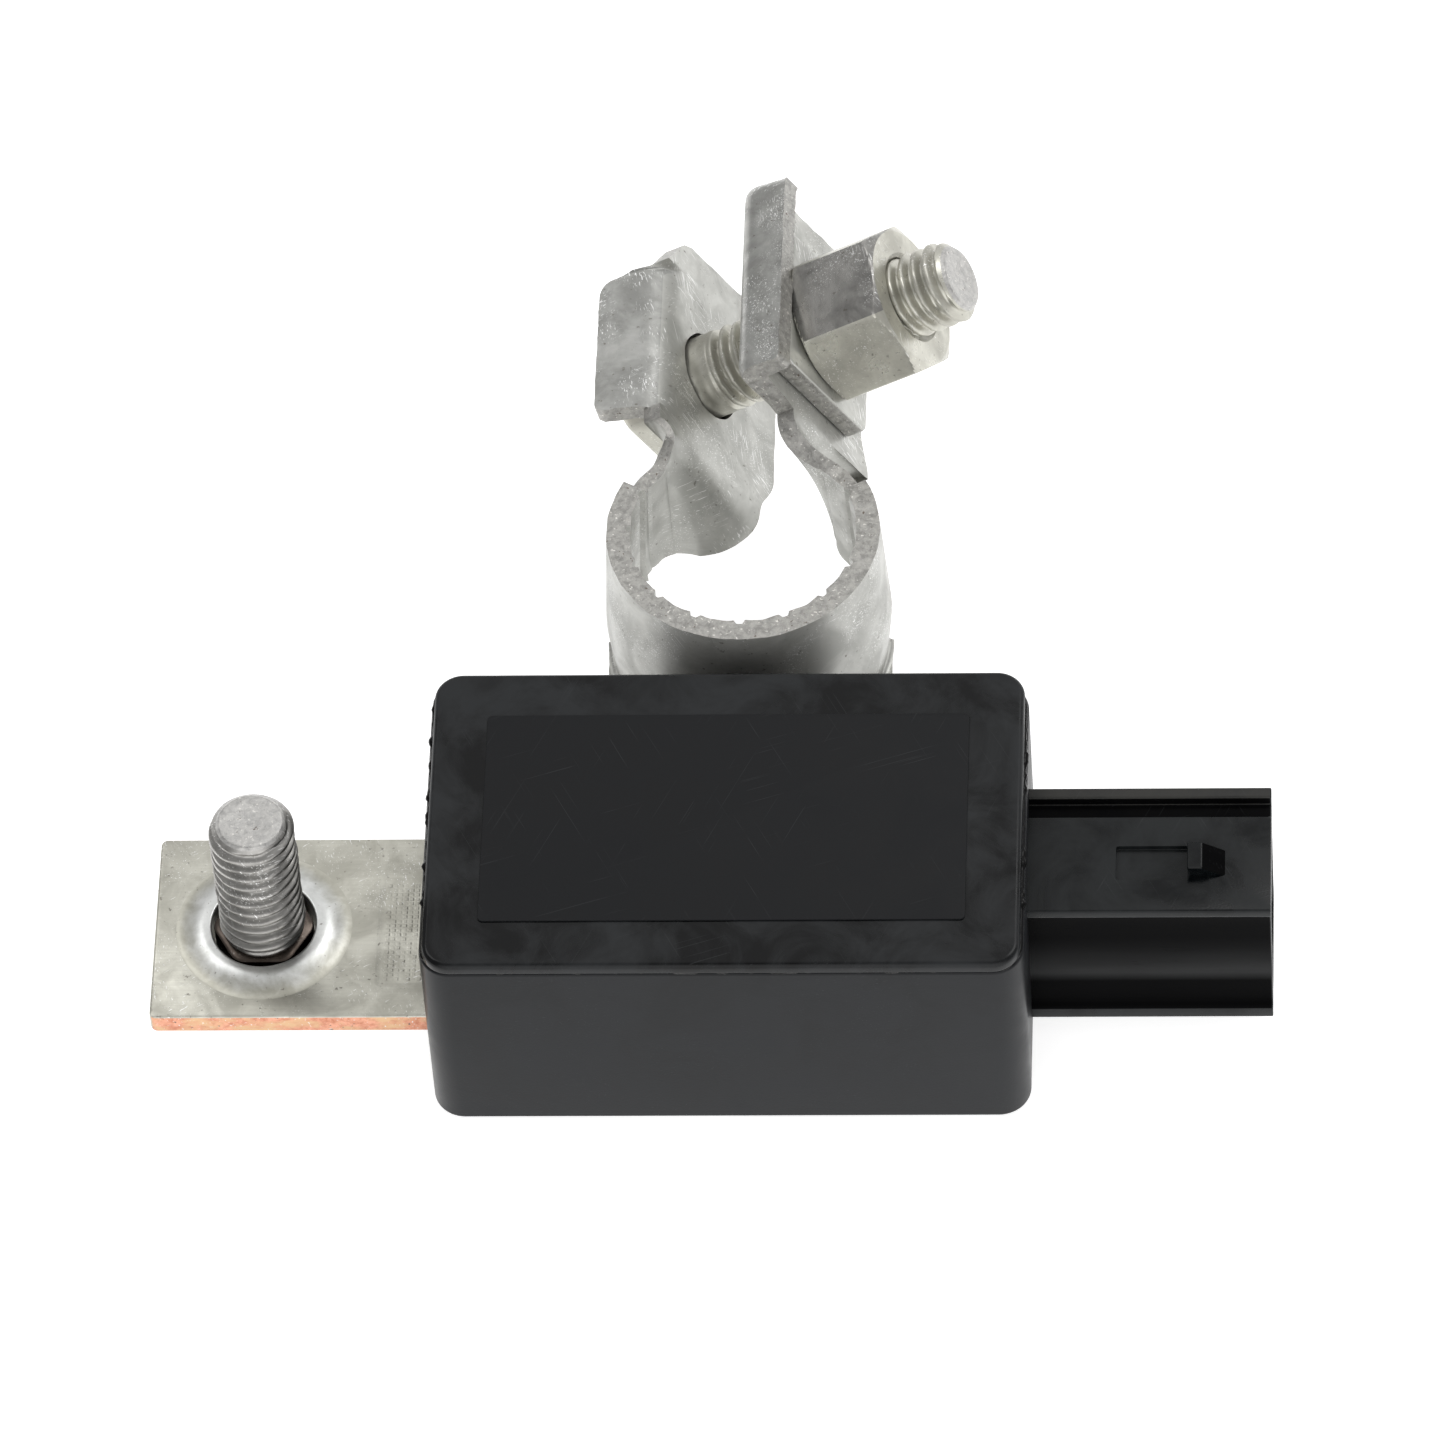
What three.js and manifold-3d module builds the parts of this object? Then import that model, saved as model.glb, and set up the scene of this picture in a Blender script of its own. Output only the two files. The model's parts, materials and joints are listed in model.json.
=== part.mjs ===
// Battery monitor shunt: a black moulded housing with a sealed lid and a plug socket, a tinned
// copper bus bar with an M6 ground stud, a manganin shunt and its circuit board inside, and a
// stamped battery post clamp with an inclined M6 clamp bolt.
//
// Millimetres, +Z up. The origin is the centre of the housing's underside. The bus bar leaves
// the housing towards -X, the plug socket towards +X and the battery post clamp towards +Y.

import * as THREE from 'three';
import { mergeVertices } from 'three/addons/utils/BufferGeometryUtils.js';
import Module from 'manifold-3d';

const wasm = await Module();
wasm.setup();

// ---------------------------------------------------------------- driving dimensions

const DEG = Math.PI / 180;
const GAP = 0.06;                      // air left between pieces that touch on the real part

// housing
const COVER_X = 41;
const COVER_Y = 25.4;
const COVER_CORNER = 2.2;
const COVER_TOP = 18;
const COVER_THICKNESS = 1.1;
const COVER_LIP = 0.3;                 // how far the lid overhangs the tub
const TUB_WALL = 1.6;
const TUB_FLOOR = 1.6;
const RIM_REBATE = 0.8;                // step in the tub's rim that holds the adhesive
const ADHESIVE_DEPTH = 0.7;
const LABEL_X = 33;
const LABEL_Y = 17.4;
const LABEL_THICKNESS = 0.1;

// bus bar, ground stud and shunt
const BAR_BOTTOM = 3.9;
const BAR_THICKNESS = 1.6;
const BAR_WIDTH = 15.2;
const BAR_END_X = -39.95;
const SHUNT_LENGTH = 8;
const CLAMP_BAR_END_X = 16;
const STUD_X = -32.4;
const STUD_TOP = 17.8;
const STUD_HOLE_RADIUS = 3.6;
const BOSS_RADIUS = 6.2;
const BOSS_HEIGHT = 0.4;
const THREAD_RADIUS = 2.95;            // M6 thread over its crests
const THREAD_END_RADIUS = 2.2;

// battery post clamp
const RING_X = 0.5;
const RING_Y = 24.7;
const RING_TOP = 18;
const RING_BOTTOM = 7.5;
const SHEET = 1.35;
const RING_RADIUS = 9.48 - SHEET / 2;  // middle of the sheet at the ring's top
const POST_TAPER = 1 / 18;             // radius gained per millimetre downwards
const PAD_DEPTH = 0.25;
const PAD_PITCH = 30 * DEG;
const PAD_SHARE = 0.86;
const TILT = 31 * DEG;                 // bolt axis above the horizontal, in the XZ plane
const BOLT_Y = RING_Y + 17.1;
const BOLT_Z = 15.5;
const LEFT_EAR_U = -4.18;              // middle of each ear's sheet, along the bolt axis
const RIGHT_EAR_U = 4.38;
const TONGUE_HALF = 10;

// clamp bolt, washer and nut, as distances along the bolt axis from its middle
const BOLT_END_U = 17.5;
const BOLT_HEAD_HEIGHT = 3.8;
const BOLT_HEAD_SIDE = 9.6;
const WASHER_THICKNESS = 1.4;
const WASHER_Y = 11.4;
const WASHER_W = 9.8;
const NUT_HEIGHT = 6.8;
const NUT_FLATS = 10;
const NUT_TURN = 15.7 * DEG;

// plug socket
const SOCKET_END_X = 37.05;
const SOCKET_HALF_Y = 5.25;
const SOCKET_BOTTOM = 1.8;
const SOCKET_TOP = 14.15;
const SOCKET_WALL = 1.2;
const SOCKET_FLOOR_X = 23.5;
const PIN_SPACING = 3.2;
const PIN_SIDE = 0.8;

// circuit board
const BOARD_X = 34;
const BOARD_Y = 20.4;
const BOARD_BOTTOM = 9;
const BOARD_THICKNESS = 1.2;
const POST_RADIUS = 1.3;

// values that follow from the ones above
const COVER_BOTTOM = COVER_TOP - COVER_THICKNESS;
const TUB_X = COVER_X - 2 * COVER_LIP;
const TUB_Y = COVER_Y - 2 * COVER_LIP - 0.2;
const TUB_TOP = COVER_BOTTOM - GAP;
const TUB_CORNER = COVER_CORNER - COVER_LIP;
const BAR_TOP = BAR_BOTTOM + BAR_THICKNESS;
const BOARD_TOP = BOARD_BOTTOM + BOARD_THICKNESS;
const SOCKET_MIDDLE_Z = (SOCKET_BOTTOM + SOCKET_TOP) / 2;
const RIGHT_EAR_OUTER_U = RIGHT_EAR_U + SHEET / 2;
const LEFT_EAR_OUTER_U = LEFT_EAR_U - SHEET / 2;
const WASHER_U = RIGHT_EAR_OUTER_U + GAP;
const NUT_U = WASHER_U + WASHER_THICKNESS + GAP;

// ---------------------------------------------------------------- helpers

function solid(geometry) {
  const bare = geometry.clone();
  bare.deleteAttribute('normal');
  bare.deleteAttribute('uv');
  const merged = mergeVertices(bare, 1e-4);
  const mesh = new wasm.Mesh({
    numProp: 3,
    vertProperties: new Float32Array(merged.attributes.position.array),
    triVerts: new Uint32Array(merged.index.array),
  });
  mesh.merge();
  return new wasm.Manifold(mesh);
}

function placed(geometry, x, y, z) {
  geometry.translate(x, y, z);
  return solid(geometry);
}

function block(x0, x1, y0, y1, z0, z1) {
  const geometry = new THREE.BoxGeometry(x1 - x0, y1 - y0, z1 - z0);
  return placed(geometry, (x0 + x1) / 2, (y0 + y1) / 2, (z0 + z1) / 2);
}

function roundedRectangle(width, height, radius) {
  const shape = new THREE.Shape();
  const x = width / 2;
  const y = height / 2;
  shape.moveTo(-x + radius, -y);
  shape.lineTo(x - radius, -y);
  shape.absarc(x - radius, -y + radius, radius, -Math.PI / 2, 0);
  shape.lineTo(x, y - radius);
  shape.absarc(x - radius, y - radius, radius, 0, Math.PI / 2);
  shape.lineTo(-x + radius, y);
  shape.absarc(-x + radius, y - radius, radius, Math.PI / 2, Math.PI);
  shape.lineTo(-x, -y + radius);
  shape.absarc(-x + radius, -y + radius, radius, Math.PI, Math.PI * 1.5);
  return shape;
}

function extruded(shape, depth, curveSegments = 8) {
  return new THREE.ExtrudeGeometry(shape, { depth, bevelEnabled: false, curveSegments });
}

function slab(width, height, radius, z0, z1, x = 0, y = 0) {
  return placed(extruded(roundedRectangle(width, height, radius), z1 - z0), x, y, z0);
}

// A turned piece from a closed [radius, z] profile, about the +Z axis.
function turned(profile, segments = 32) {
  const points = profile.map(([radius, z]) => new THREE.Vector2(radius, z));
  const geometry = new THREE.LatheGeometry(points, segments);
  geometry.rotateX(Math.PI / 2);
  return solid(geometry);
}

function rod(radius, z0, z1, x, y, segments = 32) {
  return turned([[0, z0], [radius, z0], [radius, z1], [0, z1]], segments).translate([x, y, 0]);
}

function hexagon(flats, turn) {
  const shape = new THREE.Shape();
  for (let corner = 0; corner < 6; corner++) {
    const angle = turn + corner * 60 * DEG;
    const radius = flats / Math.sqrt(3);
    shape.lineTo(radius * Math.cos(angle), radius * Math.sin(angle));
  }
  return shape;
}

// Moves a solid whose +X, +Y and +Z run along world Y, the ear's upward direction and the bolt
// axis into its place on the clamp.
const boltFrame = new THREE.Matrix4().makeBasis(
  new THREE.Vector3(0, 1, 0),
  new THREE.Vector3(-Math.sin(TILT), 0, Math.cos(TILT)),
  new THREE.Vector3(Math.cos(TILT), 0, Math.sin(TILT)),
).setPosition(RING_X, BOLT_Y, BOLT_Z);

function onBolt(item) {
  return item.transform(boltFrame.elements);
}

function material(color, roughness, metalness) {
  return new THREE.MeshStandardMaterial({ color, roughness, metalness });
}

const group = new THREE.Group();

function add(name, item, look) {
  const { vertProperties, triVerts, numProp } = item.getMesh();
  const geometry = new THREE.BufferGeometry();
  const positions = new Float32Array((vertProperties.length / numProp) * 3);
  for (let i = 0; i < positions.length / 3; i++) {
    positions.set(vertProperties.subarray(i * numProp, i * numProp + 3), i * 3);
  }
  geometry.setAttribute('position', new THREE.BufferAttribute(positions, 3));
  geometry.setIndex(new THREE.BufferAttribute(new Uint32Array(triVerts), 1));
  geometry.computeVertexNormals();
  const mesh = new THREE.Mesh(geometry, look);
  mesh.name = name;
  group.add(mesh);
}

const looks = {
  housing: material(0x1b1c1e, 0.55, 0),
  adhesive: material(0x050505, 0.2, 0),
  label: material(0x202224, 0.75, 0),
  tinnedCopper: material(0xb5b3a6, 0.42, 1),
  manganin: material(0x9c8f86, 0.4, 1),
  clampSheet: material(0xb8b7b1, 0.45, 1),
  zinc: material(0xb4b4ae, 0.38, 1),
  studSteel: material(0x8f9092, 0.45, 1),
  board: material(0x1d4f33, 0.5, 0),
  package: material(0x17181a, 0.6, 0),
  ceramic: material(0x9a7a58, 0.5, 0),
  pin: material(0xc7c2b0, 0.3, 1),
};

// ---------------------------------------------------------------- housing

const boardPosts = [[-15.4, -8.9], [15.4, -8.9], [-15.4, 8.9], [15.4, 8.9]];

// Outline of the plug socket across its length: a flat top with a groove near its rear edge,
// hollowed long sides and a foot flange along the bottom.
function socketOutline() {
  const shape = new THREE.Shape();
  const side = SOCKET_HALF_Y;
  const hollow = 0.75;
  shape.moveTo(-side, SOCKET_BOTTOM);
  shape.lineTo(side, SOCKET_BOTTOM);
  shape.lineTo(side, SOCKET_BOTTOM + 1.15);
  shape.lineTo(side - hollow * 0.6, SOCKET_BOTTOM + 1.5);
  shape.quadraticCurveTo(side - hollow, SOCKET_MIDDLE_Z, side - hollow * 0.6, SOCKET_TOP - 1.1);
  shape.lineTo(side, SOCKET_TOP - 0.75);
  shape.lineTo(side, SOCKET_TOP);
  shape.lineTo(4.35, SOCKET_TOP);
  shape.lineTo(4.35, SOCKET_TOP - 0.8);
  shape.lineTo(2.8, SOCKET_TOP - 0.8);
  shape.lineTo(2.8, SOCKET_TOP);
  shape.lineTo(-side, SOCKET_TOP);
  shape.lineTo(-side, SOCKET_TOP - 0.75);
  shape.lineTo(-side + hollow * 0.6, SOCKET_TOP - 1.1);
  shape.quadraticCurveTo(-side + hollow, SOCKET_MIDDLE_Z, -side + hollow * 0.6, SOCKET_BOTTOM + 1.5);
  shape.lineTo(-side, SOCKET_BOTTOM + 1.15);
  return shape;
}

function socket() {
  const length = SOCKET_END_X - TUB_X / 2 + 0.4;
  const outer = extruded(socketOutline(), length);
  outer.rotateX(Math.PI / 2);
  outer.rotateZ(Math.PI / 2);
  outer.translate(TUB_X / 2 - 0.4, 0, 0);
  const half = SOCKET_HALF_Y - 0.35 - SOCKET_WALL;
  const cavity = block(
    SOCKET_FLOOR_X, SOCKET_END_X + 1, -half, half,
    SOCKET_BOTTOM + SOCKET_WALL, SOCKET_TOP - 0.8 - SOCKET_WALL,
  );
  const latchY = -1.17;
  const recess = block(26.5, 31.4, latchY - 1.43, latchY + 1.43, SOCKET_TOP - 0.35, SOCKET_TOP + 1);
  const wedge = new THREE.Shape();
  wedge.moveTo(31.7, SOCKET_TOP - 0.5);
  wedge.lineTo(34.1, SOCKET_TOP - 0.5);
  wedge.lineTo(34.1, SOCKET_TOP);
  wedge.lineTo(32, SOCKET_TOP + 1.1);
  wedge.lineTo(31.4, SOCKET_TOP + 1.1);
  const latch = extruded(wedge, 2.5);
  latch.rotateX(Math.PI / 2);
  latch.translate(0, latchY + 1.25, 0);
  return solid(outer).subtract(cavity).subtract(recess).add(solid(latch));
}

function tub() {
  const inX = TUB_X / 2 - TUB_WALL;
  const inY = TUB_Y / 2 - TUB_WALL;
  let item = slab(TUB_X, TUB_Y, TUB_CORNER, 0, TUB_TOP);
  item = item.add(socket());
  item = item.subtract(slab(2 * inX, 2 * inY, 0.8, TUB_FLOOR, TUB_TOP + 1));
  const rebate = slab(2 * inX + RIM_REBATE, 2 * inY + RIM_REBATE, 1, TUB_TOP - ADHESIVE_DEPTH, TUB_TOP + 1);
  item = item.subtract(rebate);
  for (const [x, y] of boardPosts) {
    item = item.add(rod(POST_RADIUS, TUB_FLOOR - 0.4, BOARD_BOTTOM - GAP, x, y, 20));
    item = item.add(rod(0.7, BOARD_BOTTOM - 0.4, BOARD_TOP + 0.5, x, y, 16));
  }
  const half = BAR_WIDTH / 2 + GAP;
  const low = BAR_BOTTOM - GAP;
  const high = BAR_TOP + GAP;
  item = item.subtract(block(-TUB_X, -inX + 1, -half, half, low, high));
  const tongue = TONGUE_HALF + GAP;
  item = item.subtract(block(RING_X - tongue, RING_X + tongue, inY - 1, TUB_Y, low, high));
  for (const y of [-PIN_SPACING / 2, PIN_SPACING / 2]) {
    const side = PIN_SIDE / 2 + GAP;
    const mid = SOCKET_MIDDLE_Z;
    item = item.subtract(block(inX - 1, SOCKET_FLOOR_X + 1, y - side, y + side, mid - side, mid + side));
  }
  return item;
}

function cover() {
  const edge = 0.45;
  const shape = roundedRectangle(COVER_X - 2 * edge, COVER_Y - 2 * edge, COVER_CORNER - edge);
  const plate = new THREE.ExtrudeGeometry(shape, {
    depth: COVER_THICKNESS - 2 * edge,
    bevelThickness: edge,
    bevelSize: edge,
    bevelSegments: 3,
    curveSegments: 8,
  });
  const top = placed(plate, 0, 0, COVER_BOTTOM + edge);
  const lip = TUB_WALL + 0.35;
  const plugX = TUB_X - 2 * lip;
  const plugY = TUB_Y - 2 * lip;
  const plug = slab(plugX, plugY, 0.8, COVER_BOTTOM - 1.2, COVER_BOTTOM + 0.3);
  const hollow = slab(plugX - 2, plugY - 2, 0.5, COVER_BOTTOM - 2, COVER_BOTTOM);
  return top.add(plug).subtract(hollow);
}

function adhesive() {
  const inX = TUB_X - 2 * TUB_WALL;
  const inY = TUB_Y - 2 * TUB_WALL;
  const low = TUB_TOP - ADHESIVE_DEPTH + GAP;
  const outer = slab(inX + RIM_REBATE - 2 * GAP, inY + RIM_REBATE - 2 * GAP, 0.9, low, TUB_TOP);
  const plug = 2 * 0.35 - 2 * GAP;
  return outer.subtract(slab(inX - plug, inY - plug, 0.8, low - 1, TUB_TOP + 1));
}

add('housing_tub', tub(), looks.housing);
add('housing_cover', cover(), looks.housing);
add('cover_adhesive_bead', adhesive(), looks.adhesive);
add(
  'blank_label',
  slab(LABEL_X, LABEL_Y, 0.3, COVER_TOP + GAP / 2, COVER_TOP + GAP / 2 + LABEL_THICKNESS),
  looks.label,
);

// ---------------------------------------------------------------- bus bars, shunt and stud

function studBar() {
  const end = -SHUNT_LENGTH / 2 - GAP / 2;
  const length = end - BAR_END_X;
  const middle = (end + BAR_END_X) / 2;
  let item = slab(length, BAR_WIDTH, 0.5, BAR_BOTTOM, BAR_TOP, middle, 0);
  const boss = turned([
    [0, BAR_TOP - 0.6],
    [BOSS_RADIUS - 0.2, BAR_TOP - 0.6],
    [BOSS_RADIUS, BAR_TOP],
    [BOSS_RADIUS - 0.7, BAR_TOP + BOSS_HEIGHT],
    [0, BAR_TOP + BOSS_HEIGHT],
  ], 48);
  item = item.add(boss.translate([STUD_X, 0, 0]));
  item = item.subtract(rod(STUD_HOLE_RADIUS, BAR_BOTTOM - 1, BAR_TOP + 2, STUD_X, 0));
  return item.subtract(block(-24.6, -21.1, -4.9, 4.1, BAR_TOP - 0.12, BAR_TOP + 1));
}

function stud() {
  const neck = solid(extruded(hexagon(6.1, 0), BAR_THICKNESS + BOSS_HEIGHT + 0.5));
  const chamfer = THREAD_RADIUS - THREAD_END_RADIUS;
  const thread = turned([
    [0, BAR_BOTTOM],
    [THREAD_RADIUS, BAR_BOTTOM],
    [THREAD_RADIUS, STUD_TOP - chamfer],
    [THREAD_END_RADIUS, STUD_TOP],
    [0, STUD_TOP],
  ]);
  const headBottom = BAR_BOTTOM - GAP - 1.4;
  const head = turned([[0, headBottom], [4.9, headBottom], [4.9, BAR_BOTTOM - GAP], [0, BAR_BOTTOM - GAP]]);
  const item = thread.add(neck.translate([0, 0, BAR_BOTTOM - 0.5])).add(head);
  return item.translate([STUD_X, 0, 0]);
}

function clampBar() {
  const start = SHUNT_LENGTH / 2 + GAP / 2;
  return block(start, CLAMP_BAR_END_X, -BAR_WIDTH / 2, BAR_WIDTH / 2, BAR_BOTTOM, BAR_TOP);
}

function shunt() {
  const half = SHUNT_LENGTH / 2 - GAP / 2;
  const width = BAR_WIDTH / 2 - 0.3;
  return block(-half, half, -width, width, BAR_BOTTOM + 0.1, BAR_TOP - 0.1);
}

add('busbar_stud_side', studBar(), looks.tinnedCopper);
add('ground_stud', stud(), looks.studSteel);
add('shunt_resistor', shunt(), looks.manganin);
add('busbar_clamp_side', clampBar(), looks.tinnedCopper);

// ---------------------------------------------------------------- battery post clamp

// The sheet's middle line seen from above is a ring that turns back, past each end of its arc,
// until it runs straight towards +Y as an ear. For a distance run from the front of the ring
// this gives the point, the outward direction and how far the turn into the ear has gone.
const TURN_BACK = 3.6;
const TWIST_START = 18 * DEG;

function sideOf(earU) {
  const earX = Math.abs(earU) * Math.cos(TILT);
  const arcEnd = Math.acos((earX + TURN_BACK) / (RING_RADIUS + TURN_BACK));
  const arcLength = RING_RADIUS * (Math.PI / 2 + arcEnd);
  const length = arcLength + TURN_BACK * arcEnd;
  const twistFrom = RING_RADIUS * (Math.PI / 2 + TWIST_START);
  const centreX = (RING_RADIUS + TURN_BACK) * Math.cos(arcEnd);
  const centreY = (RING_RADIUS + TURN_BACK) * Math.sin(arcEnd);
  return { earX, arcEnd, arcLength, length, twistFrom, centreX, centreY };
}

function ringPoint(run, side) {
  if (run < side.arcLength) {
    const angle = run / RING_RADIUS - Math.PI / 2;
    const out = [Math.cos(angle), Math.sin(angle)];
    return { x: RING_RADIUS * out[0], y: RING_RADIUS * out[1], out, angle };
  }
  const angle = Math.PI + side.arcEnd - (run - side.arcLength) / TURN_BACK;
  const out = [-Math.cos(angle), -Math.sin(angle)];
  return { x: side.centreX - TURN_BACK * out[0], y: side.centreY - TURN_BACK * out[1], out, angle: null };
}

// Raised gripping pads on the ring's inner face, evenly spread about its front.
function padHeight(run) {
  const turn = run / RING_RADIUS / PAD_PITCH;
  const share = Math.abs(turn - Math.round(turn)) * 2;
  return share < PAD_SHARE && run < RING_RADIUS * (Math.PI / 2 + TWIST_START) ? PAD_DEPTH : 0;
}

const rightSide = sideOf(RIGHT_EAR_U);
const leftSide = sideOf(LEFT_EAR_U);
const EAR_ROOT_TOP = { right: 19.4, left: 18.4 };
const EAR_ROOT_BOTTOM = { right: 11.3, left: 7.3 };

// A point of the clamp's strip: s runs from the left ear (-1) to the right ear (+1), high from
// the lower edge (0) to the upper edge (1), and face is +1 outside and -1 inside.
function stripPoint(s, high, face) {
  const right = s >= 0;
  const hand = right ? 1 : -1;
  const side = right ? rightSide : leftSide;
  const run = Math.abs(s) * side.length;
  const place = ringPoint(run, side);
  const out = new THREE.Vector3(hand * place.out[0], place.out[1], 0);
  const linear = THREE.MathUtils.clamp((run - side.twistFrom) / (side.length - side.twistFrom), 0, 1);
  const turn = THREE.MathUtils.smoothstep(linear, 0, 1);
  const tilt = TILT * turn;
  const earU = right ? RIGHT_EAR_U : LEFT_EAR_U;
  const key = right ? 'right' : 'left';
  const ringMiddle = (RING_TOP + RING_BOTTOM) / 2;
  const middle = THREE.MathUtils.lerp(ringMiddle, BOLT_Z + earU * Math.sin(TILT), turn);
  const top = THREE.MathUtils.lerp(RING_TOP, EAR_ROOT_TOP[key], turn);
  let bottom = THREE.MathUtils.lerp(RING_BOTTOM, EAR_ROOT_BOTTOM[key], turn);
  if (run < RING_RADIUS * Math.PI / 2) bottom = BAR_BOTTOM + 0.1;
  const z = THREE.MathUtils.lerp(bottom, top, high);
  const w = (z - middle) / Math.cos(tilt);
  const up = new THREE.Vector3(0, 0, Math.cos(tilt)).addScaledVector(out, -hand * Math.sin(tilt));
  const across = out.clone().multiplyScalar(Math.cos(tilt));
  across.z += hand * Math.sin(tilt);
  const offset = face > 0 ? SHEET / 2 : -SHEET / 2 - padHeight(run);
  const taper = (RING_TOP - z) * POST_TAPER * (1 - turn);
  return new THREE.Vector3(RING_X + hand * place.x, RING_Y + place.y, middle)
    .addScaledVector(up, w)
    .addScaledVector(across, offset)
    .addScaledVector(out, taper);
}

function clampStrip() {
  const geometry = new THREE.BoxGeometry(2, 1, 2, 132, 5, 1);
  const position = geometry.attributes.position;
  for (let i = 0; i < position.count; i++) {
    const point = stripPoint(position.getX(i), position.getY(i) + 0.5, position.getZ(i));
    position.setXYZ(i, point.x, point.y, point.z);
  }
  return solid(geometry);
}

// Ears are drawn in the bolt's own axes: first along world Y, then up the ear.
const EAR_START = { right: rightSide.centreY - (BOLT_Y - RING_Y), left: leftSide.centreY - (BOLT_Y - RING_Y) };
const EAR_LOW = -7.4;
const TAB_W = 7.5;
const FLANGE_W = 6.4;

function rootHeight(z, earU) {
  return (z - (BOLT_Z + earU * Math.sin(TILT))) / Math.cos(TILT);
}

function leftEar() {
  const start = EAR_START.left - 0.3;
  const shape = new THREE.Shape();
  shape.moveTo(start, rootHeight(EAR_ROOT_BOTTOM.left, LEFT_EAR_U));
  shape.quadraticCurveTo(start + 1.6, EAR_LOW, start + 2.6, EAR_LOW);
  shape.lineTo(8, EAR_LOW);
  shape.absarc(8, EAR_LOW + 1.5, 1.5, -Math.PI / 2, 0);
  shape.lineTo(9.5, 2.6);
  shape.absarc(8.7, 2.6, 0.8, 0, Math.PI / 3);
  shape.lineTo(5.2, TAB_W - 1);
  shape.lineTo(-6.3, TAB_W - 1);
  shape.lineTo(-6.6, rootHeight(EAR_ROOT_TOP.left, LEFT_EAR_U));
  shape.lineTo(start, rootHeight(EAR_ROOT_TOP.left, LEFT_EAR_U));
  const plate = extruded(shape, SHEET, 6);
  return placed(plate, 0, 0, LEFT_EAR_U - SHEET / 2);
}

function rightEar() {
  const start = EAR_START.right - 0.3;
  const rootTop = rootHeight(EAR_ROOT_TOP.right, RIGHT_EAR_U);
  const shape = new THREE.Shape();
  shape.moveTo(start, rootHeight(EAR_ROOT_BOTTOM.right, RIGHT_EAR_U));
  shape.lineTo(7.5, EAR_LOW);
  shape.absarc(7.5, EAR_LOW + 1.5, 1.5, -Math.PI / 2, 0);
  shape.lineTo(9, FLANGE_W - 1);
  shape.lineTo(start + 0.5, FLANGE_W - 1);
  shape.quadraticCurveTo(start + 0.3, rootTop + 0.6, start, rootTop);
  const plate = extruded(shape, SHEET, 6);
  return placed(plate, 0, 0, RIGHT_EAR_U - SHEET / 2);
}

// A sheet edge turned outwards along world Y: the corner is an arc, seen along Y.
function turnedEdge(y0, y1, w, earU, hand, reach) {
  const inner = earU - hand * SHEET / 2;
  const shape = new THREE.Shape();
  const radius = 1.5;
  shape.moveTo(w - 2.2, inner);
  shape.lineTo(w - radius, inner);
  shape.quadraticCurveTo(w, inner, w, inner + hand * radius);
  shape.lineTo(w, reach);
  shape.lineTo(w - SHEET, reach);
  shape.lineTo(w - SHEET, inner + hand * SHEET);
  shape.lineTo(w - 2.2, inner + hand * SHEET);
  const geometry = extruded(shape, y1 - y0, 5);
  // the outline's x is the ear's upward direction and its y is the bolt axis
  const turn = new THREE.Matrix4().makeBasis(
    new THREE.Vector3(0, 1, 0),
    new THREE.Vector3(0, 0, 1),
    new THREE.Vector3(1, 0, 0),
  ).setPosition(y0, 0, 0);
  geometry.applyMatrix4(turn);
  return solid(geometry);
}

function tongue() {
  const shape = new THREE.Shape();
  const inside = TUB_Y / 2 - TUB_WALL - 0.2;
  const weldX0 = SHUNT_LENGTH / 2 + 0.6;
  const right = RING_X + TONGUE_HALF;
  const left = RING_X - TONGUE_HALF;
  shape.moveTo(weldX0, BAR_WIDTH / 2 + GAP);
  shape.lineTo(right, BAR_WIDTH / 2 + GAP);
  shape.lineTo(right, RING_Y - 0.9);
  shape.absarc(RING_X, RING_Y, RING_RADIUS + 0.7, -5 * DEG, -175 * DEG, true);
  shape.lineTo(left, RING_Y - 0.9);
  shape.lineTo(left, inside);
  shape.lineTo(weldX0, inside);
  return placed(extruded(shape, SHEET, 24), 0, 0, BAR_BOTTOM + 0.1);
}

function terminalClamp() {
  const bore = rod(3.2, -20, 20, 0, 0);
  const ears = onBolt(
    leftEar()
      .add(turnedEdge(-6.3, 5.2, TAB_W, LEFT_EAR_U, -1, -8.3))
      .add(rightEar())
      .add(turnedEdge(EAR_START.right + 0.2, 9, FLANGE_W, RIGHT_EAR_U, 1, 6.5))
      .subtract(bore),
  );
  return clampStrip().add(ears).add(tongue());
}

add('terminal_clamp', terminalClamp(), looks.clampSheet);

// ---------------------------------------------------------------- clamp bolt, washer and nut

function clampBolt() {
  const headTop = LEFT_EAR_OUTER_U - GAP;
  const side = BOLT_HEAD_SIDE;
  const head = slab(side, side, 0.8, headTop - BOLT_HEAD_HEIGHT, headTop);
  const chamfer = THREAD_RADIUS - THREAD_END_RADIUS;
  const shank = turned([
    [0, headTop - 1],
    [THREAD_RADIUS, headTop - 1],
    [THREAD_RADIUS, BOLT_END_U - chamfer],
    [THREAD_END_RADIUS, BOLT_END_U],
    [0, BOLT_END_U],
  ]);
  return onBolt(head.add(shank));
}

function clampWasher() {
  const plate = slab(WASHER_Y, WASHER_W, 0.8, WASHER_U, WASHER_U + WASHER_THICKNESS, -0.25, -0.1);
  return onBolt(plate.subtract(rod(3.3, WASHER_U - 1, WASHER_U + 3, 0, 0)));
}

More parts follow.
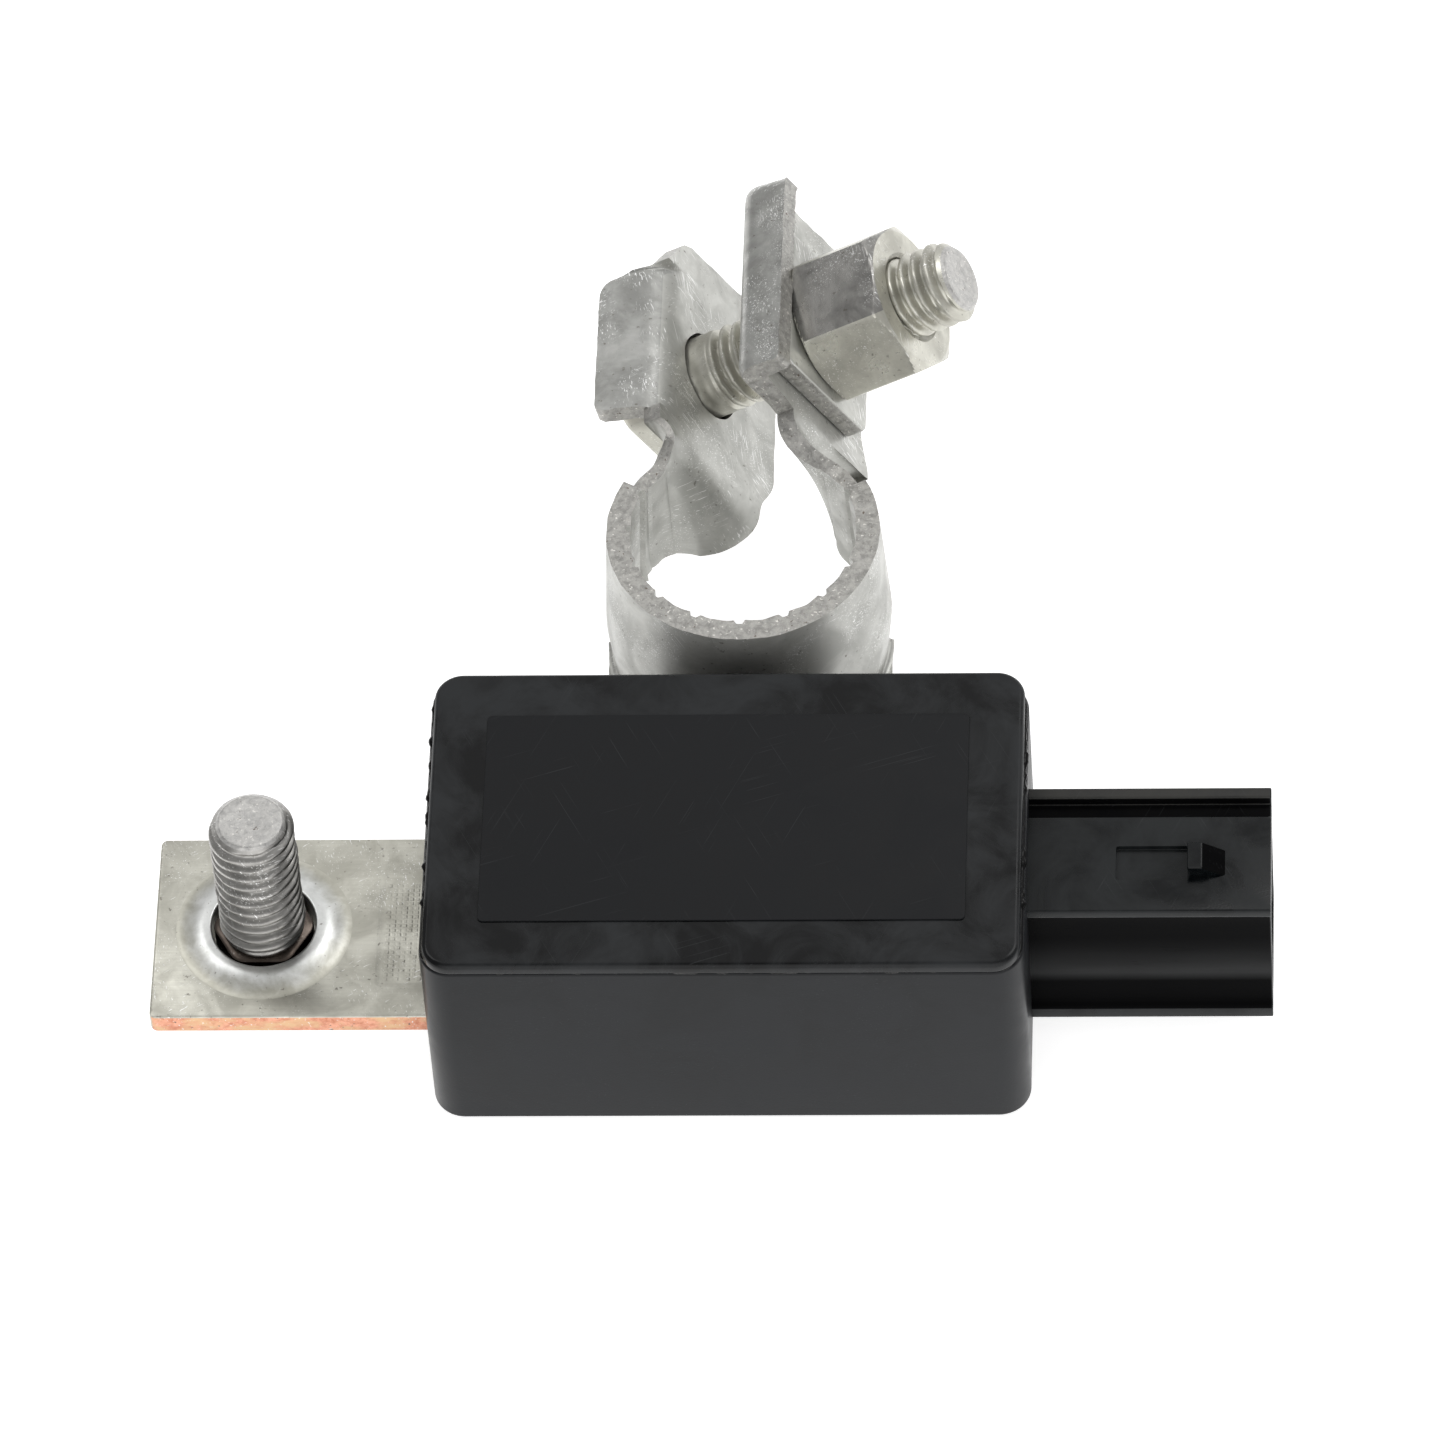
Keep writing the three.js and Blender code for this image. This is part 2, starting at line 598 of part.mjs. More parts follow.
function clampNut() {
  const prism = placed(extruded(hexagon(NUT_FLATS, NUT_TURN), NUT_HEIGHT), 0, 0, NUT_U);
  const corner = NUT_FLATS / Math.sqrt(3);
  const top = NUT_U + NUT_HEIGHT;
  const dome = turned([
    [0, NUT_U],
    [NUT_FLATS / 2 - 0.15, NUT_U],
    [corner + 0.05, NUT_U + 0.6],
    [corner + 0.05, top - 0.6],
    [NUT_FLATS / 2 - 0.15, top],
    [0, top],
  ], 36);
  const bore = rod(3.1, NUT_U - 1, top + 1, 0, 0);
  return onBolt(prism.intersect(dome).subtract(bore));
}

add('clamp_bolt', clampBolt(), looks.zinc);
add('clamp_washer', clampWasher(), looks.clampSheet);
add('clamp_nut', clampNut(), looks.zinc);

// ---------------------------------------------------------------- circuit board and contacts

const senseX = SHUNT_LENGTH / 2 + 1.6;

function circuitBoard() {
  let item = slab(BOARD_X, BOARD_Y, 0.8, BOARD_BOTTOM, BOARD_TOP);
  for (const [x, y] of boardPosts) {
    item = item.subtract(rod(0.85, BOARD_BOTTOM - 1, BOARD_TOP + 1, x, y, 16));
  }
  for (const x of [-senseX, senseX]) {
    item = item.subtract(rod(0.75, BOARD_BOTTOM - 1, BOARD_TOP + 1, x, 0, 16));
  }
  for (const y of [-PIN_SPACING / 2, PIN_SPACING / 2]) {
    item = item.subtract(rod(0.75, BOARD_BOTTOM - 1, BOARD_TOP + 1, 15.6, y, 16));
  }
  return item;
}

// A flat foot welded to the bus bar and a post that is soldered into the board.
function senseLead(x) {
  const foot = block(x - 0.4, x + 0.4, -1.5, 1.5, BAR_TOP + GAP, BAR_TOP + 0.6);
  const post = block(x - 0.3, x + 0.3, -0.4, 0.4, BAR_TOP + 0.3, BOARD_TOP + 0.8);
  return foot.add(post);
}

function connectorPin(y) {
  const half = PIN_SIDE / 2;
  const mid = SOCKET_MIDDLE_Z;
  const blade = block(15.6 - half, 31, y - half, y + half, mid - half, mid + half);
  const post = block(15.6 - half, 15.6 + half, y - half, y + half, mid, BOARD_TOP + 0.8);
  return blade.add(post);
}

add('circuit_board', circuitBoard(), looks.board);
add('sense_lead_stud_side', senseLead(-senseX), looks.pin);
add('sense_lead_clamp_side', senseLead(senseX), looks.pin);
add('connector_pin_supply', connectorPin(-PIN_SPACING / 2), looks.pin);
add('connector_pin_data', connectorPin(PIN_SPACING / 2), looks.pin);

// Surface-mounted pieces: name, centre x and y, size x, y and z, look.
const boardPieces = [
  ['controller_chip', 0, 4.6, 7, 7, 1.4, looks.package],
  ['bus_transceiver_chip', 9.4, -5, 5, 4, 1.5, looks.package],
  ['supply_diode', 10.5, 5.6, 4.3, 3.6, 2.1, looks.package],
  ['filter_capacitor_1', -9.5, 5.5, 3.2, 1.6, 1.4, looks.ceramic],
  ['filter_capacitor_2', -9.5, 2.2, 3.2, 1.6, 1.4, looks.ceramic],
  ['supply_capacitor', -9.5, -5, 3.2, 2.5, 1.8, looks.ceramic],
  ['clock_crystal', 0, -5.4, 5, 3.2, 1.1, looks.pin],
];

for (const [name, x, y, sizeX, sizeY, sizeZ, look] of boardPieces) {
  const low = BOARD_TOP + GAP;
  add(name, block(x - sizeX / 2, x + sizeX / 2, y - sizeY / 2, y + sizeY / 2, low, low + sizeZ), look);
}

// The temperature sensor hangs under the board, over the shunt.
add('temperature_sensor', block(-1, 1, -5.6, -4.4, BOARD_BOTTOM - GAP - 0.9, BOARD_BOTTOM - GAP), looks.ceramic);

export default group;
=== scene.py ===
"""Looks of a battery monitor shunt: the visible pieces are rebuilt at full detail around the CAD frame.

Lengths in this script are millimetres in the CAD's own frame, and are scaled to metres when a mesh
is made. The inner pieces keep their CAD meshes and get materials.
"""

import json
import math
import random

import bmesh
import bpy
from mathutils import Matrix, Vector, noise


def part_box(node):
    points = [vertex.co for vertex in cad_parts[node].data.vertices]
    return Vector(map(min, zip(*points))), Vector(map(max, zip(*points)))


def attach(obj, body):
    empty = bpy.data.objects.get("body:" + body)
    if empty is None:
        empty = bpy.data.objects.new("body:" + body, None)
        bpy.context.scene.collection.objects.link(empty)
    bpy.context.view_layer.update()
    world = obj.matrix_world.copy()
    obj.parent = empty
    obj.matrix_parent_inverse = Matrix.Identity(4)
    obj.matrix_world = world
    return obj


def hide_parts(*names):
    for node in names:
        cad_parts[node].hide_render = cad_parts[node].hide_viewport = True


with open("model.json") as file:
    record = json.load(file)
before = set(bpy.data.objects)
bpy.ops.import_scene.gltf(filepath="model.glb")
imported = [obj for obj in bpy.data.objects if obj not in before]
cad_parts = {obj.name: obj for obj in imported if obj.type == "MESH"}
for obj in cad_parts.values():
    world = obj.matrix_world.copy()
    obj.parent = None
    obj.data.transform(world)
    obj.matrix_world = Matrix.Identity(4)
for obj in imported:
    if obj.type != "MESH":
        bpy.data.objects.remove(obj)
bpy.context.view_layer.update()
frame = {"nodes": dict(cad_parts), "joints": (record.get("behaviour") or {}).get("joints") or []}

MM = 0.001
BODY = "sensor_body"


# ---------------------------------------------------------------- sizes read from the frame


def box_mm(node):
    """Lowest and highest corner of a CAD node, in millimetres."""
    low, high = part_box(node)
    return low / MM, high / MM


cover_low, cover_high = box_mm("housing_cover")
tub_low, tub_high = box_mm("housing_tub")
bar_low, bar_high = box_mm("busbar_stud_side")
stud_low, stud_high = box_mm("ground_stud")
label_low, label_high = box_mm("blank_label")
nut_joint = next(j for j in frame["joints"] if j["name"] == "nut_spin")
bolt_middle = Vector(nut_joint["pos_m"]) / MM
bolt_axis = Vector(nut_joint["axis"]).normalized()

# ---------------------------------------------------------------- driving dimensions

COVER_X = cover_high.x - cover_low.x
COVER_Y = cover_high.y - cover_low.y
COVER_CORNER = 2.2
COVER_TOP = cover_high.z
COVER_EDGE = 0.4
COVER_INSET = 0.26                # how far the lid's outline stands in from the CAD's
SEAM = 0.24
TUB_TOP = tub_high.z
TUB_X = COVER_X
TUB_Y = tub_high.y - tub_low.y
TUB_WALL = 1.6
TUB_CORNER = COVER_CORNER
TUB_FOOT_EDGE = 0.45
TUB_RIM_EDGE = 0.22
INNER_CORNER = 0.8
GAP = 0.06                        # air between pieces that touch on the real part

BAR_BOTTOM = bar_low.z
BAR_THICKNESS = 1.6
BAR_TOP = BAR_BOTTOM + BAR_THICKNESS
BAR_WIDTH = bar_high.y - bar_low.y
BOSS_HEIGHT = bar_high.z - BAR_TOP + 0.15
BOSS_RADIUS = 6.2
BOSS_CREST = 0.12
STUD_X = (stud_low.x + stud_high.x) / 2
STUD_TOP = stud_high.z
STUD_HOLE_RADIUS = 3.6
STUD_NECK_FLATS = 6.3
STUD_HEAD_RADIUS = 4.9
COIN_DEPTH = 0.07
COIN_SIZE = (3.6, 9.0)
COIN_CENTRE = (-22.6, -0.4)
HATCH_X = (-24.05, -21.35)
HATCH_Y = (-4.55, 3.75)
HATCH_PITCH = 0.38

THREAD_RADIUS = 2.95
THREAD_DEPTH = 0.58
THREAD_PITCH = 1.0
THREAD_END_RADIUS = 2.2

# The clamp: the ears are set by where they cross the bolt's axis, and their edges by the height W
# above it.
SHEET = 1.35
RING_X = bolt_middle.x
RING_Y = 24.7
RING_TOP = 18.0
RING_BOTTOM = 7.5
RING_RADIUS = 9.48 - SHEET / 2     # middle of the sheet
POST_TAPER = 1 / 18                # radius gained per millimetre downwards
POST_TAPER_END = 9.0
PAD_DEPTH = 0.34
PAD_PITCH = math.radians(23)
PADS_END = math.radians(119)       # turn from the ring's front to the last pad
CREASES = (0.9, 3.1)               # runs past the last pad of two fine grooves
RIM_STEP = 1.2
STRIP_THINNER = 0.28
EAR_THICKER = 0.6
TILT = math.atan2(bolt_axis.z, bolt_axis.x)
LEFT_EAR_U = -4.18
RIGHT_EAR_U = 4.36
TURN_BACK = 2.4
TWIST_START = math.radians(42)
TONGUE_HALF = 9.75
FOOT_BEND = 1.1                    # bend radius where the ring's wall turns out into the tongue

# Both ears, by hand: -1 is the left one and +1 the right one.
EAR_LOW = {-1: -8.2, 1: -6.5}
EAR_BACK = {-1: 9.6, 1: 9.5}
EAR_CORNER = 1.5
EAR_TOP_RISE = 2.9                 # height of the plate behind the turned edge, and its fall
EAR_TOP_FALL = 2.8
LANCE = 0.03

# The turned edges: the left ear's tab and the right ear's flange. They run from and to along the
# ear, start at a height, bend at a radius and go on flat.
TAB = {
    "from": -6.3, "to": 5.6, "start": 3.6, "radius": 2.5, "bend": math.radians(70), "flat": 2.6,
    "front_round": 0.5, "back_round": 1.7, "sharp": 0.0, "droop": 0.0,
}
FLANGE = {
    "from": -7.1, "to": 9.5, "start": 5.1, "radius": 0.75, "bend": math.radians(88), "flat": 1.8,
    "front_round": 0.2, "back_round": 0.5, "sharp": 0.24, "droop": 0.8,
}
MAIN_ROWS = 20
FOOT_ROWS = 8
LIP_ROWS = 16

SOCKET_END_X = tub_high.x
SOCKET_HALF_Y = 5.25
SOCKET_BOTTOM = 1.8
SOCKET_TOP = 14.15
SOCKET_WALL = 1.2
SOCKET_FLOOR_X = 23.5
SOCKET_HOLLOW = 0.75               # how deep the socket's long sides are scooped
SOCKET_GROOVE = (2.8, 4.35, 0.8)   # the top groove's two sides along Y, and its depth
SOCKET_FLARE = 0.3
SOCKET_SHEEN_HEIGHT = 6.4                  # height of the painted sheen band on the scooped side
LATCH_Y = -1.17
LATCH_HALF_WIDTH = 1.1
RECESS_X = 28.95
RECESS_LENGTH = 4.9
RECESS_WIDTH = 2.86

# The bolt, washer and nut: U is a distance along the bolt's axis from its middle.
WASHER_U = 5.115
WASHER_THICKNESS = 1.4
WASHER_SIZE = (11.4, 9.8)
WASHER_CENTRE = (-0.25, -0.1)
WASHER_BORE_RADIUS = 3.3
EAR_BORE_RADIUS = 3.2
NUT_U = WASHER_U + WASHER_THICKNESS + GAP
NUT_HEIGHT = 6.8
NUT_FLATS = 10.0
NUT_TURN = math.radians(15.7)
BOLT_END_U = 17.5
BOLT_HEAD_U = LEFT_EAR_U - SHEET / 2 - GAP
BOLT_HEAD_HEIGHT = 3.8
BOLT_HEAD_SIDE = 8.8

# Camera: seen from the front right and above, from far away with a long lens.
CAMERA_AZIMUTH = math.radians(5.55)
CAMERA_ELEVATION = math.radians(52.86)
CAMERA_ROLL = math.radians(4.73)
CAMERA_DISTANCE = 850.0
CAMERA_LENS = 306.4
CAMERA_AIM_RIGHT = -1.04
CAMERA_AIM_UP = 17.29

# The light tent: even walls, a bright panel high at the back and a card low at the front.
TENT_GLOW = 0.40
BACK_GLOW = 0.5
BACK_PANEL = (0.15, 0.60, 0.79)
FRONT_GLOW = 1.3
FRONT_CARD = (0.1, -0.98, 0.15)
LIGHT_AIM = (0, 0.01, 0.01)
FLOOR_HALF_SIZE = 3.0
FLOOR_GLOW = 0.76

random.seed(7)
noise.seed_set(7)                  # noise_vector would otherwise differ from run to run


# ---------------------------------------------------------------- node helpers


def new_material(name):
    material = bpy.data.materials.new(name)
    material.use_nodes = True
    tree = material.node_tree
    return material, tree, tree.nodes["Principled BSDF"]


def add_node(tree, kind, values=None, **settings):
    node = tree.nodes.new(kind)
    for key, value in settings.items():
        setattr(node, key, value)
    for key, value in (values or {}).items():
        node.inputs[key].default_value = value
    return node


def position(tree, scale=(1, 1, 1), turn=(0, 0, 0)):
    """Object coordinates in millimetres, turned and then stretched."""
    source = add_node(tree, "ShaderNodeTexCoord")
    mapping = add_node(tree, "ShaderNodeMapping", vector_type="TEXTURE")
    mapping.inputs["Scale"].default_value = [MM / s for s in scale]
    mapping.inputs["Rotation"].default_value = turn
    tree.links.new(source.outputs["Object"], mapping.inputs["Vector"])
    return mapping.outputs["Vector"]


def noise_field(tree, vector, scale, detail=4.0, roughness=0.55, distortion=0.0):
    values = {"Scale": scale, "Detail": detail, "Roughness": roughness, "Distortion": distortion}
    node = add_node(tree, "ShaderNodeTexNoise", values)
    tree.links.new(vector, node.inputs["Vector"])
    return node.outputs["Fac"]


def spread(tree, value, low, high, to_low=0.0, to_high=1.0):
    """Maps a range of the value onto another range, without going past its ends."""
    values = {"From Min": low, "From Max": high, "To Min": to_low, "To Max": to_high}
    node = add_node(tree, "ShaderNodeMapRange", values)
    tree.links.new(value, node.inputs["Value"])
    return node.outputs["Result"]


def combine(tree, operation, a, b):
    node = add_node(tree, "ShaderNodeMath", operation=operation)
    for socket, value in zip(node.inputs, (a, b)):
        if isinstance(value, (int, float)):
            socket.default_value = value
        else:
            tree.links.new(value, socket)
    return node.outputs[0]


def blend_colors(tree, factor, a, b):
    """Mix of two colours; each may be a colour or another node's output."""
    node = add_node(tree, "ShaderNodeMix", data_type="RGBA")
    for socket, value in ((node.inputs["Factor"], factor), (node.inputs[6], a), (node.inputs[7], b)):
        if isinstance(value, (int, float)):
            socket.default_value = value
        elif isinstance(value, tuple):
            socket.default_value = (*value, 1.0)
        else:
            tree.links.new(value, socket)
    return node.outputs[2]


def bump(tree, shader, height, strength, distance, after=None):
    """Adds relief to the shader's normal, on top of the relief that comes before it."""
    node = add_node(tree, "ShaderNodeBump", {"Strength": strength, "Distance": distance * MM})
    tree.links.new(height, node.inputs["Height"])
    if after is not None:
        tree.links.new(after, node.inputs["Normal"])
    tree.links.new(node.outputs["Normal"], shader.inputs["Normal"])
    return node.outputs["Normal"]


def scratches(tree, turns, density, fineness=11.0):
    """Clusters of thin hairlines: narrow bands of stretched noise, kept only here and there."""
    total = None
    for index, turn in enumerate(turns):
        lines = noise_field(tree, position(tree, (fineness, 0.09, fineness), turn), 1.0, 1.5, 0.4)
        thin = spread(tree, lines, density, density + 0.03)
        patches = noise_field(tree, position(tree, (0.22, 0.22, 0.22), (index, 0.4, 0.2)), 1.0, 2.0)
        kept = combine(tree, "MULTIPLY", thin, spread(tree, patches, 0.52, 0.62))
        total = kept if total is None else combine(tree, "MAXIMUM", total, kept)
    return total


# ---------------------------------------------------------------- materials


def plastic(name, color, lighter, rough, grain, grain_height, specular=0.29, ior=None):
    """Moulded black plastic: smudges in the gloss, a fine grain and a few pale scuffs."""
    material, tree, shader = new_material(name)
    smudges = noise_field(tree, position(tree), 0.16, 5.0, 0.62, 0.6)
    wide = spread(tree, smudges, 0.38, 0.62)
    base = blend_colors(tree, wide, color, lighter)
    scuffs = scratches(tree, [(0.0, 0.0, 0.5), (0.0, 0.0, 1.9), (0.0, 0.0, 2.7)], 0.70)
    faint = combine(tree, "MULTIPLY", scuffs, 0.18)
    tree.links.new(blend_colors(tree, faint, base, (0.08, 0.085, 0.09)), shader.inputs["Base Color"])
    tree.links.new(spread(tree, smudges, 0.36, 0.64, *rough), shader.inputs["Roughness"])
    fine = noise_field(tree, position(tree), grain, 2.0)
    first = bump(tree, shader, fine, 0.35, grain_height)
    bump(tree, shader, smudges, 0.25, 0.06, first)
    shader.inputs["Specular IOR Level"].default_value = specular
    if ior:
        shader.inputs["IOR"].default_value = ior
    return material


def scooped_black_painted_sheen(name):
    """The socket's scooped sides: black, with a dull lighter band of painted sheen that fades upwards."""
    material, tree, shader = new_material(name)
    split = add_node(tree, "ShaderNodeSeparateXYZ")
    tree.links.new(position(tree), split.inputs["Vector"])
    height = split.outputs["Z"]
    above = spread(tree, height, SOCKET_SHEEN_HEIGHT + 4.2, SOCKET_SHEEN_HEIGHT + 0.3)
    below = spread(tree, height, SOCKET_SHEEN_HEIGHT - 1.0, SOCKET_SHEEN_HEIGHT - 0.1)
    cloud = noise_field(tree, position(tree, (0.2, 1, 1)), 0.5, 4.0)
    # Painted sheen: a lighter band in the base colour where the scooped side's curve would catch the light.
    band = combine(tree, "MULTIPLY", combine(tree, "POWER", above, 1.8), below)
    band = combine(tree, "MULTIPLY", band, spread(tree, cloud, 0.3, 0.7, 0.75, 1.1))
    base = blend_colors(tree, band, (0.0022, 0.0022, 0.0024), (0.030, 0.0305, 0.031))
    tree.links.new(base, shader.inputs["Base Color"])
    tree.links.new(spread(tree, cloud, 0.3, 0.7, 0.26, 0.4), shader.inputs["Roughness"])
    shader.inputs["IOR"].default_value = 1.07
    bump(tree, shader, cloud, 0.2, 0.03)
    return material


def gloss_black(name):
    material, tree, shader = new_material(name)
    lumps = noise_field(tree, position(tree), 1.1, 3.0)
    tree.links.new(
        blend_colors(tree, lumps, (0.0015, 0.0015, 0.0016), (0.004, 0.004, 0.0044)),
        shader.inputs["Base Color"],
    )
    tree.links.new(spread(tree, lumps, 0.3, 0.7, 0.05, 0.16), shader.inputs["Roughness"])
    shader.inputs["Specular IOR Level"].default_value = 0.14
    bump(tree, shader, lumps, 0.4, 0.12)
    return material


def worn_metal(name, color, darker, rough, grain_scale, scratch_density=0.64, metallic=1.0):
    """Plated sheet: cloudy colour, a directional grain, pale scratches and dark specks."""
    material, tree, shader = new_material(name)
    shader.inputs["Metallic"].default_value = metallic
    dirt = (0.16, 0.145, 0.125)
    clouds = noise_field(tree, position(tree), 0.33, 6.0, 0.62, 0.5)
    base = blend_colors(tree, spread(tree, clouds, 0.38, 0.62), color, darker)
    grain = noise_field(tree, position(tree, grain_scale), 1.0, 3.0, 0.6)
    streaks = spread(tree, grain, 0.3, 0.7, 0.0, 0.35)
    base = blend_colors(tree, streaks, base, darker)
    specks = noise_field(tree, position(tree), 2.6, 3.0, 0.5)
    dark = combine(tree, "MULTIPLY", spread(tree, specks, 0.66, 0.74), 0.75)
    base = blend_colors(tree, dark, base, dirt)
    marks = scratches(tree, [(0.3, 0.5, 0.4), (0.9, 0.1, 1.2), (0.2, 0.8, 2.3)], scratch_density)
    bright = combine(tree, "MULTIPLY", marks, 0.85)
    tree.links.new(blend_colors(tree, bright, base, (0.93, 0.93, 0.92)), shader.inputs["Base Color"])
    tree.links.new(spread(tree, clouds, 0.3, 0.7, rough - 0.07, rough + 0.1), shader.inputs["Roughness"])
    first = bump(tree, shader, grain, 0.22, 0.03)
    second = bump(tree, shader, clouds, 0.2, 0.08, first)
    bump(tree, shader, marks, 0.25, -0.03, second)
    return material


def painted_highlight_tin(name):
    """The boss's flank: a painted highlight, lighter near the hole and fading into the bar's dull tin."""
    material, tree, shader = new_material(name)
    shader.inputs["Metallic"].default_value = 0.92
    from_axis = add_node(tree, "ShaderNodeVectorMath", {1: (STUD_X, 0, 0)}, operation="DISTANCE")
    flat = add_node(tree, "ShaderNodeVectorMath", {1: (1, 1, 0)}, operation="MULTIPLY")
    tree.links.new(position(tree), flat.inputs[0])
    tree.links.new(flat.outputs["Vector"], from_axis.inputs[0])
    clouds = noise_field(tree, position(tree), 0.5, 6.0, 0.65, 0.4)
    wander = combine(tree, "MULTIPLY", combine(tree, "SUBTRACT", clouds, 0.5), 2.2)
    distance = combine(tree, "ADD", from_axis.outputs["Value"], wander)
    cloudy = spread(tree, clouds, 0.35, 0.65)
    bright = blend_colors(tree, cloudy, (0.78, 0.785, 0.77), (0.58, 0.59, 0.575))
    dull = blend_colors(tree, cloudy, (0.60, 0.59, 0.52), (0.44, 0.43, 0.37))
    # Painted highlight: the flank's colour is lighter inside 4.5 to 5.8 mm from the stud's axis, where the
    # dome would catch the side light.
    base = blend_colors(tree, spread(tree, distance, 4.5, 5.8), bright, dull)
    specks = noise_field(tree, position(tree), 2.4, 2.0)
    base = blend_colors(tree, spread(tree, specks, 0.68, 0.76, 0.0, 0.7), base, (0.2, 0.18, 0.16))
    tree.links.new(base, shader.inputs["Base Color"])
    tree.links.new(spread(tree, distance, 4.5, 5.8, 0.3, 0.36), shader.inputs["Roughness"])
    bump(tree, shader, clouds, 0.25, 0.05)
    return material


def cut_metal(name, color, darker, rough, patch=None):
    """Sheared edge: coarse, mottled and darker, with small bright torn spots."""
    material, tree, shader = new_material(name)
    shader.inputs["Metallic"].default_value = 0.85
    mottle = noise_field(tree, position(tree), 1.9, 6.0, 0.72, 0.4)
    base = blend_colors(tree, spread(tree, mottle, 0.38, 0.62), darker, color)
    if patch:
        along = noise_field(tree, position(tree, (0.35, 1, 0.8)), 1.0, 3.0, 0.6)
        base = blend_colors(tree, spread(tree, along, 0.45, 0.6), base, patch)
    spots = noise_field(tree, position(tree), 4.2, 2.0)
    base = blend_colors(tree, spread(tree, spots, 0.63, 0.74), base, (0.82, 0.80, 0.76))
    pits = noise_field(tree, position(tree, (1, 1, 1), (0.5, 0.2, 0.9)), 2.8, 2.0)
    base = blend_colors(tree, spread(tree, pits, 0.68, 0.74), base, (0.16, 0.13, 0.11))
    tree.links.new(base, shader.inputs["Base Color"])
    roughness = spread(tree, mottle, 0.3, 0.7, rough - 0.08, rough + 0.14)
    tree.links.new(roughness, shader.inputs["Roughness"])
    first = bump(tree, shader, mottle, 0.55, 0.12)
    bump(tree, shader, spots, 0.3, 0.06, first)
    return material


def board_green(name):
    material, tree, shader = new_material(name)
    weave = noise_field(tree, position(tree), 1.6, 3.0)
    tree.links.new(
        blend_colors(tree, weave, (0.012, 0.09, 0.04), (0.02, 0.14, 0.06)), shader.inputs["Base Color"]
    )
    shader.inputs["Roughness"].default_value = 0.35
    bump(tree, shader, weave, 0.2, 0.03)
    return material


def ceramic(name):
    material, tree, shader = new_material(name)
    speckle = noise_field(tree, position(tree), 3.0, 3.0)
    tree.links.new(
        blend_colors(tree, speckle, (0.30, 0.19, 0.11), (0.42, 0.29, 0.18)), shader.inputs["Base Color"]
    )
    shader.inputs["Roughness"].default_value = 0.5
    bump(tree, shader, speckle, 0.15, 0.02)
    return material


housing_plastic = plastic(
    "housing_plastic", (0.0068, 0.0075, 0.0088), (0.0112, 0.0122, 0.0142), (0.29, 0.44), 6.0, 0.012, 0.2,
)
cover_plastic = plastic(
    "cover_plastic", (0.0004, 0.0006, 0.0010), (0.0165, 0.0182, 0.020), (0.14, 0.50), 6.0, 0.010, 0.24,
)
label_plastic = plastic(
    "label_film", (0.0042, 0.0047, 0.0058), (0.0058, 0.0065, 0.0080), (0.50, 0.58), 9.0, 0.014, 0.22,
)
# Painted shade: a black that reflects far less light, put in the socket's groove and on the latch's faces
# that turn towards +X.
painted_shade_black = plastic(
    "painted_shade_black", (0.0025, 0.0025, 0.0028), (0.004, 0.004, 0.0043), (0.22, 0.34), 6.0, 0.008, ior=1.1,
)
scoop = scooped_black_painted_sheen("scooped_black_painted_sheen")
socket_plastic = plastic(
    "socket_plastic", (0.0006, 0.0014, 0.0020), (0.0125, 0.0145, 0.0155), (0.16, 0.50), 6.0, 0.012, 0.22,
)
# A lighter, rougher black for the top of the socket's rib.
lighter_rib_plastic = plastic(
    "lighter_rib_plastic", (0.016, 0.016, 0.015), (0.034, 0.033, 0.030), (0.42, 0.60), 7.0, 0.014,
)
adhesive_black = gloss_black("adhesive_black")
tinned = worn_metal(
    "tinned_copper", (0.64, 0.63, 0.56), (0.44, 0.43, 0.375), 0.34, (0.35, 7.0, 3.0), 0.67, 0.9,
)
boss_painted_highlight = painted_highlight_tin("painted_highlight_tin")
copper_edge = cut_metal("copper_edge", (0.80, 0.42, 0.29), (0.56, 0.22, 0.13), 0.40, (0.70, 0.46, 0.27))
clamp_sheet = worn_metal(
    "clamp_sheet", (0.55, 0.55, 0.52), (0.41, 0.41, 0.385), 0.36, (0.6, 2.0, 4.0), 0.645, 0.62,
)
clamp_edge = cut_metal("clamp_cut_edge", (0.48, 0.47, 0.445), (0.28, 0.275, 0.26), 0.38)
zinc = worn_metal("zinc_plate", (0.64, 0.63, 0.56), (0.43, 0.42, 0.37), 0.31, (3.0, 0.8, 3.0), 0.67, 0.65)
# A darker copy of the clamp's sheet with its own wear streaks: painted shade on the turned tab and flange.
clamp_worn_painted_shade = worn_metal(
    "clamp_worn_painted_shade", (0.48, 0.48, 0.46), (0.29, 0.29, 0.275), 0.34, (0.6, 2.5, 5.0), 0.63, 0.72,
)
# A darker zinc with wear streaks: painted shade on the nut's upward-facing flats.
zinc_worn_painted_shade = worn_metal(
    "zinc_worn_painted_shade", (0.50, 0.49, 0.465), (0.24, 0.235, 0.225), 0.28, (6.0, 0.5, 6.0), 0.64, 0.8,
)
stud_steel = worn_metal("stud_steel", (0.47, 0.46, 0.44), (0.23, 0.225, 0.215), 0.33, (1.5, 1.5, 4.0), 0.66)
stud_face = cut_metal("stud_end_face", (0.60, 0.59, 0.57), (0.40, 0.395, 0.385), 0.40)
neck_bronze = worn_metal("stud_neck", (0.085, 0.07, 0.06), (0.045, 0.036, 0.03), 0.24, (2.0, 2.0, 2.0), 0.7)
manganin = worn_metal("manganin", (0.50, 0.42, 0.37), (0.40, 0.33, 0.29), 0.36, (0.6, 5.0, 2.0), 0.68)
contact = worn_metal(
    "contact_metal", (0.78, 0.74, 0.62), (0.62, 0.58, 0.47), 0.25, (2.0, 2.0, 2.0), 0.69,
)
board = board_green("board_green")
package = plastic("chip_package", (0.018, 0.018, 0.019), (0.026, 0.026, 0.027), (0.5, 0.6), 8.0, 0.01)
ceramic_body = ceramic("ceramic_body")


# ---------------------------------------------------------------- mesh helpers


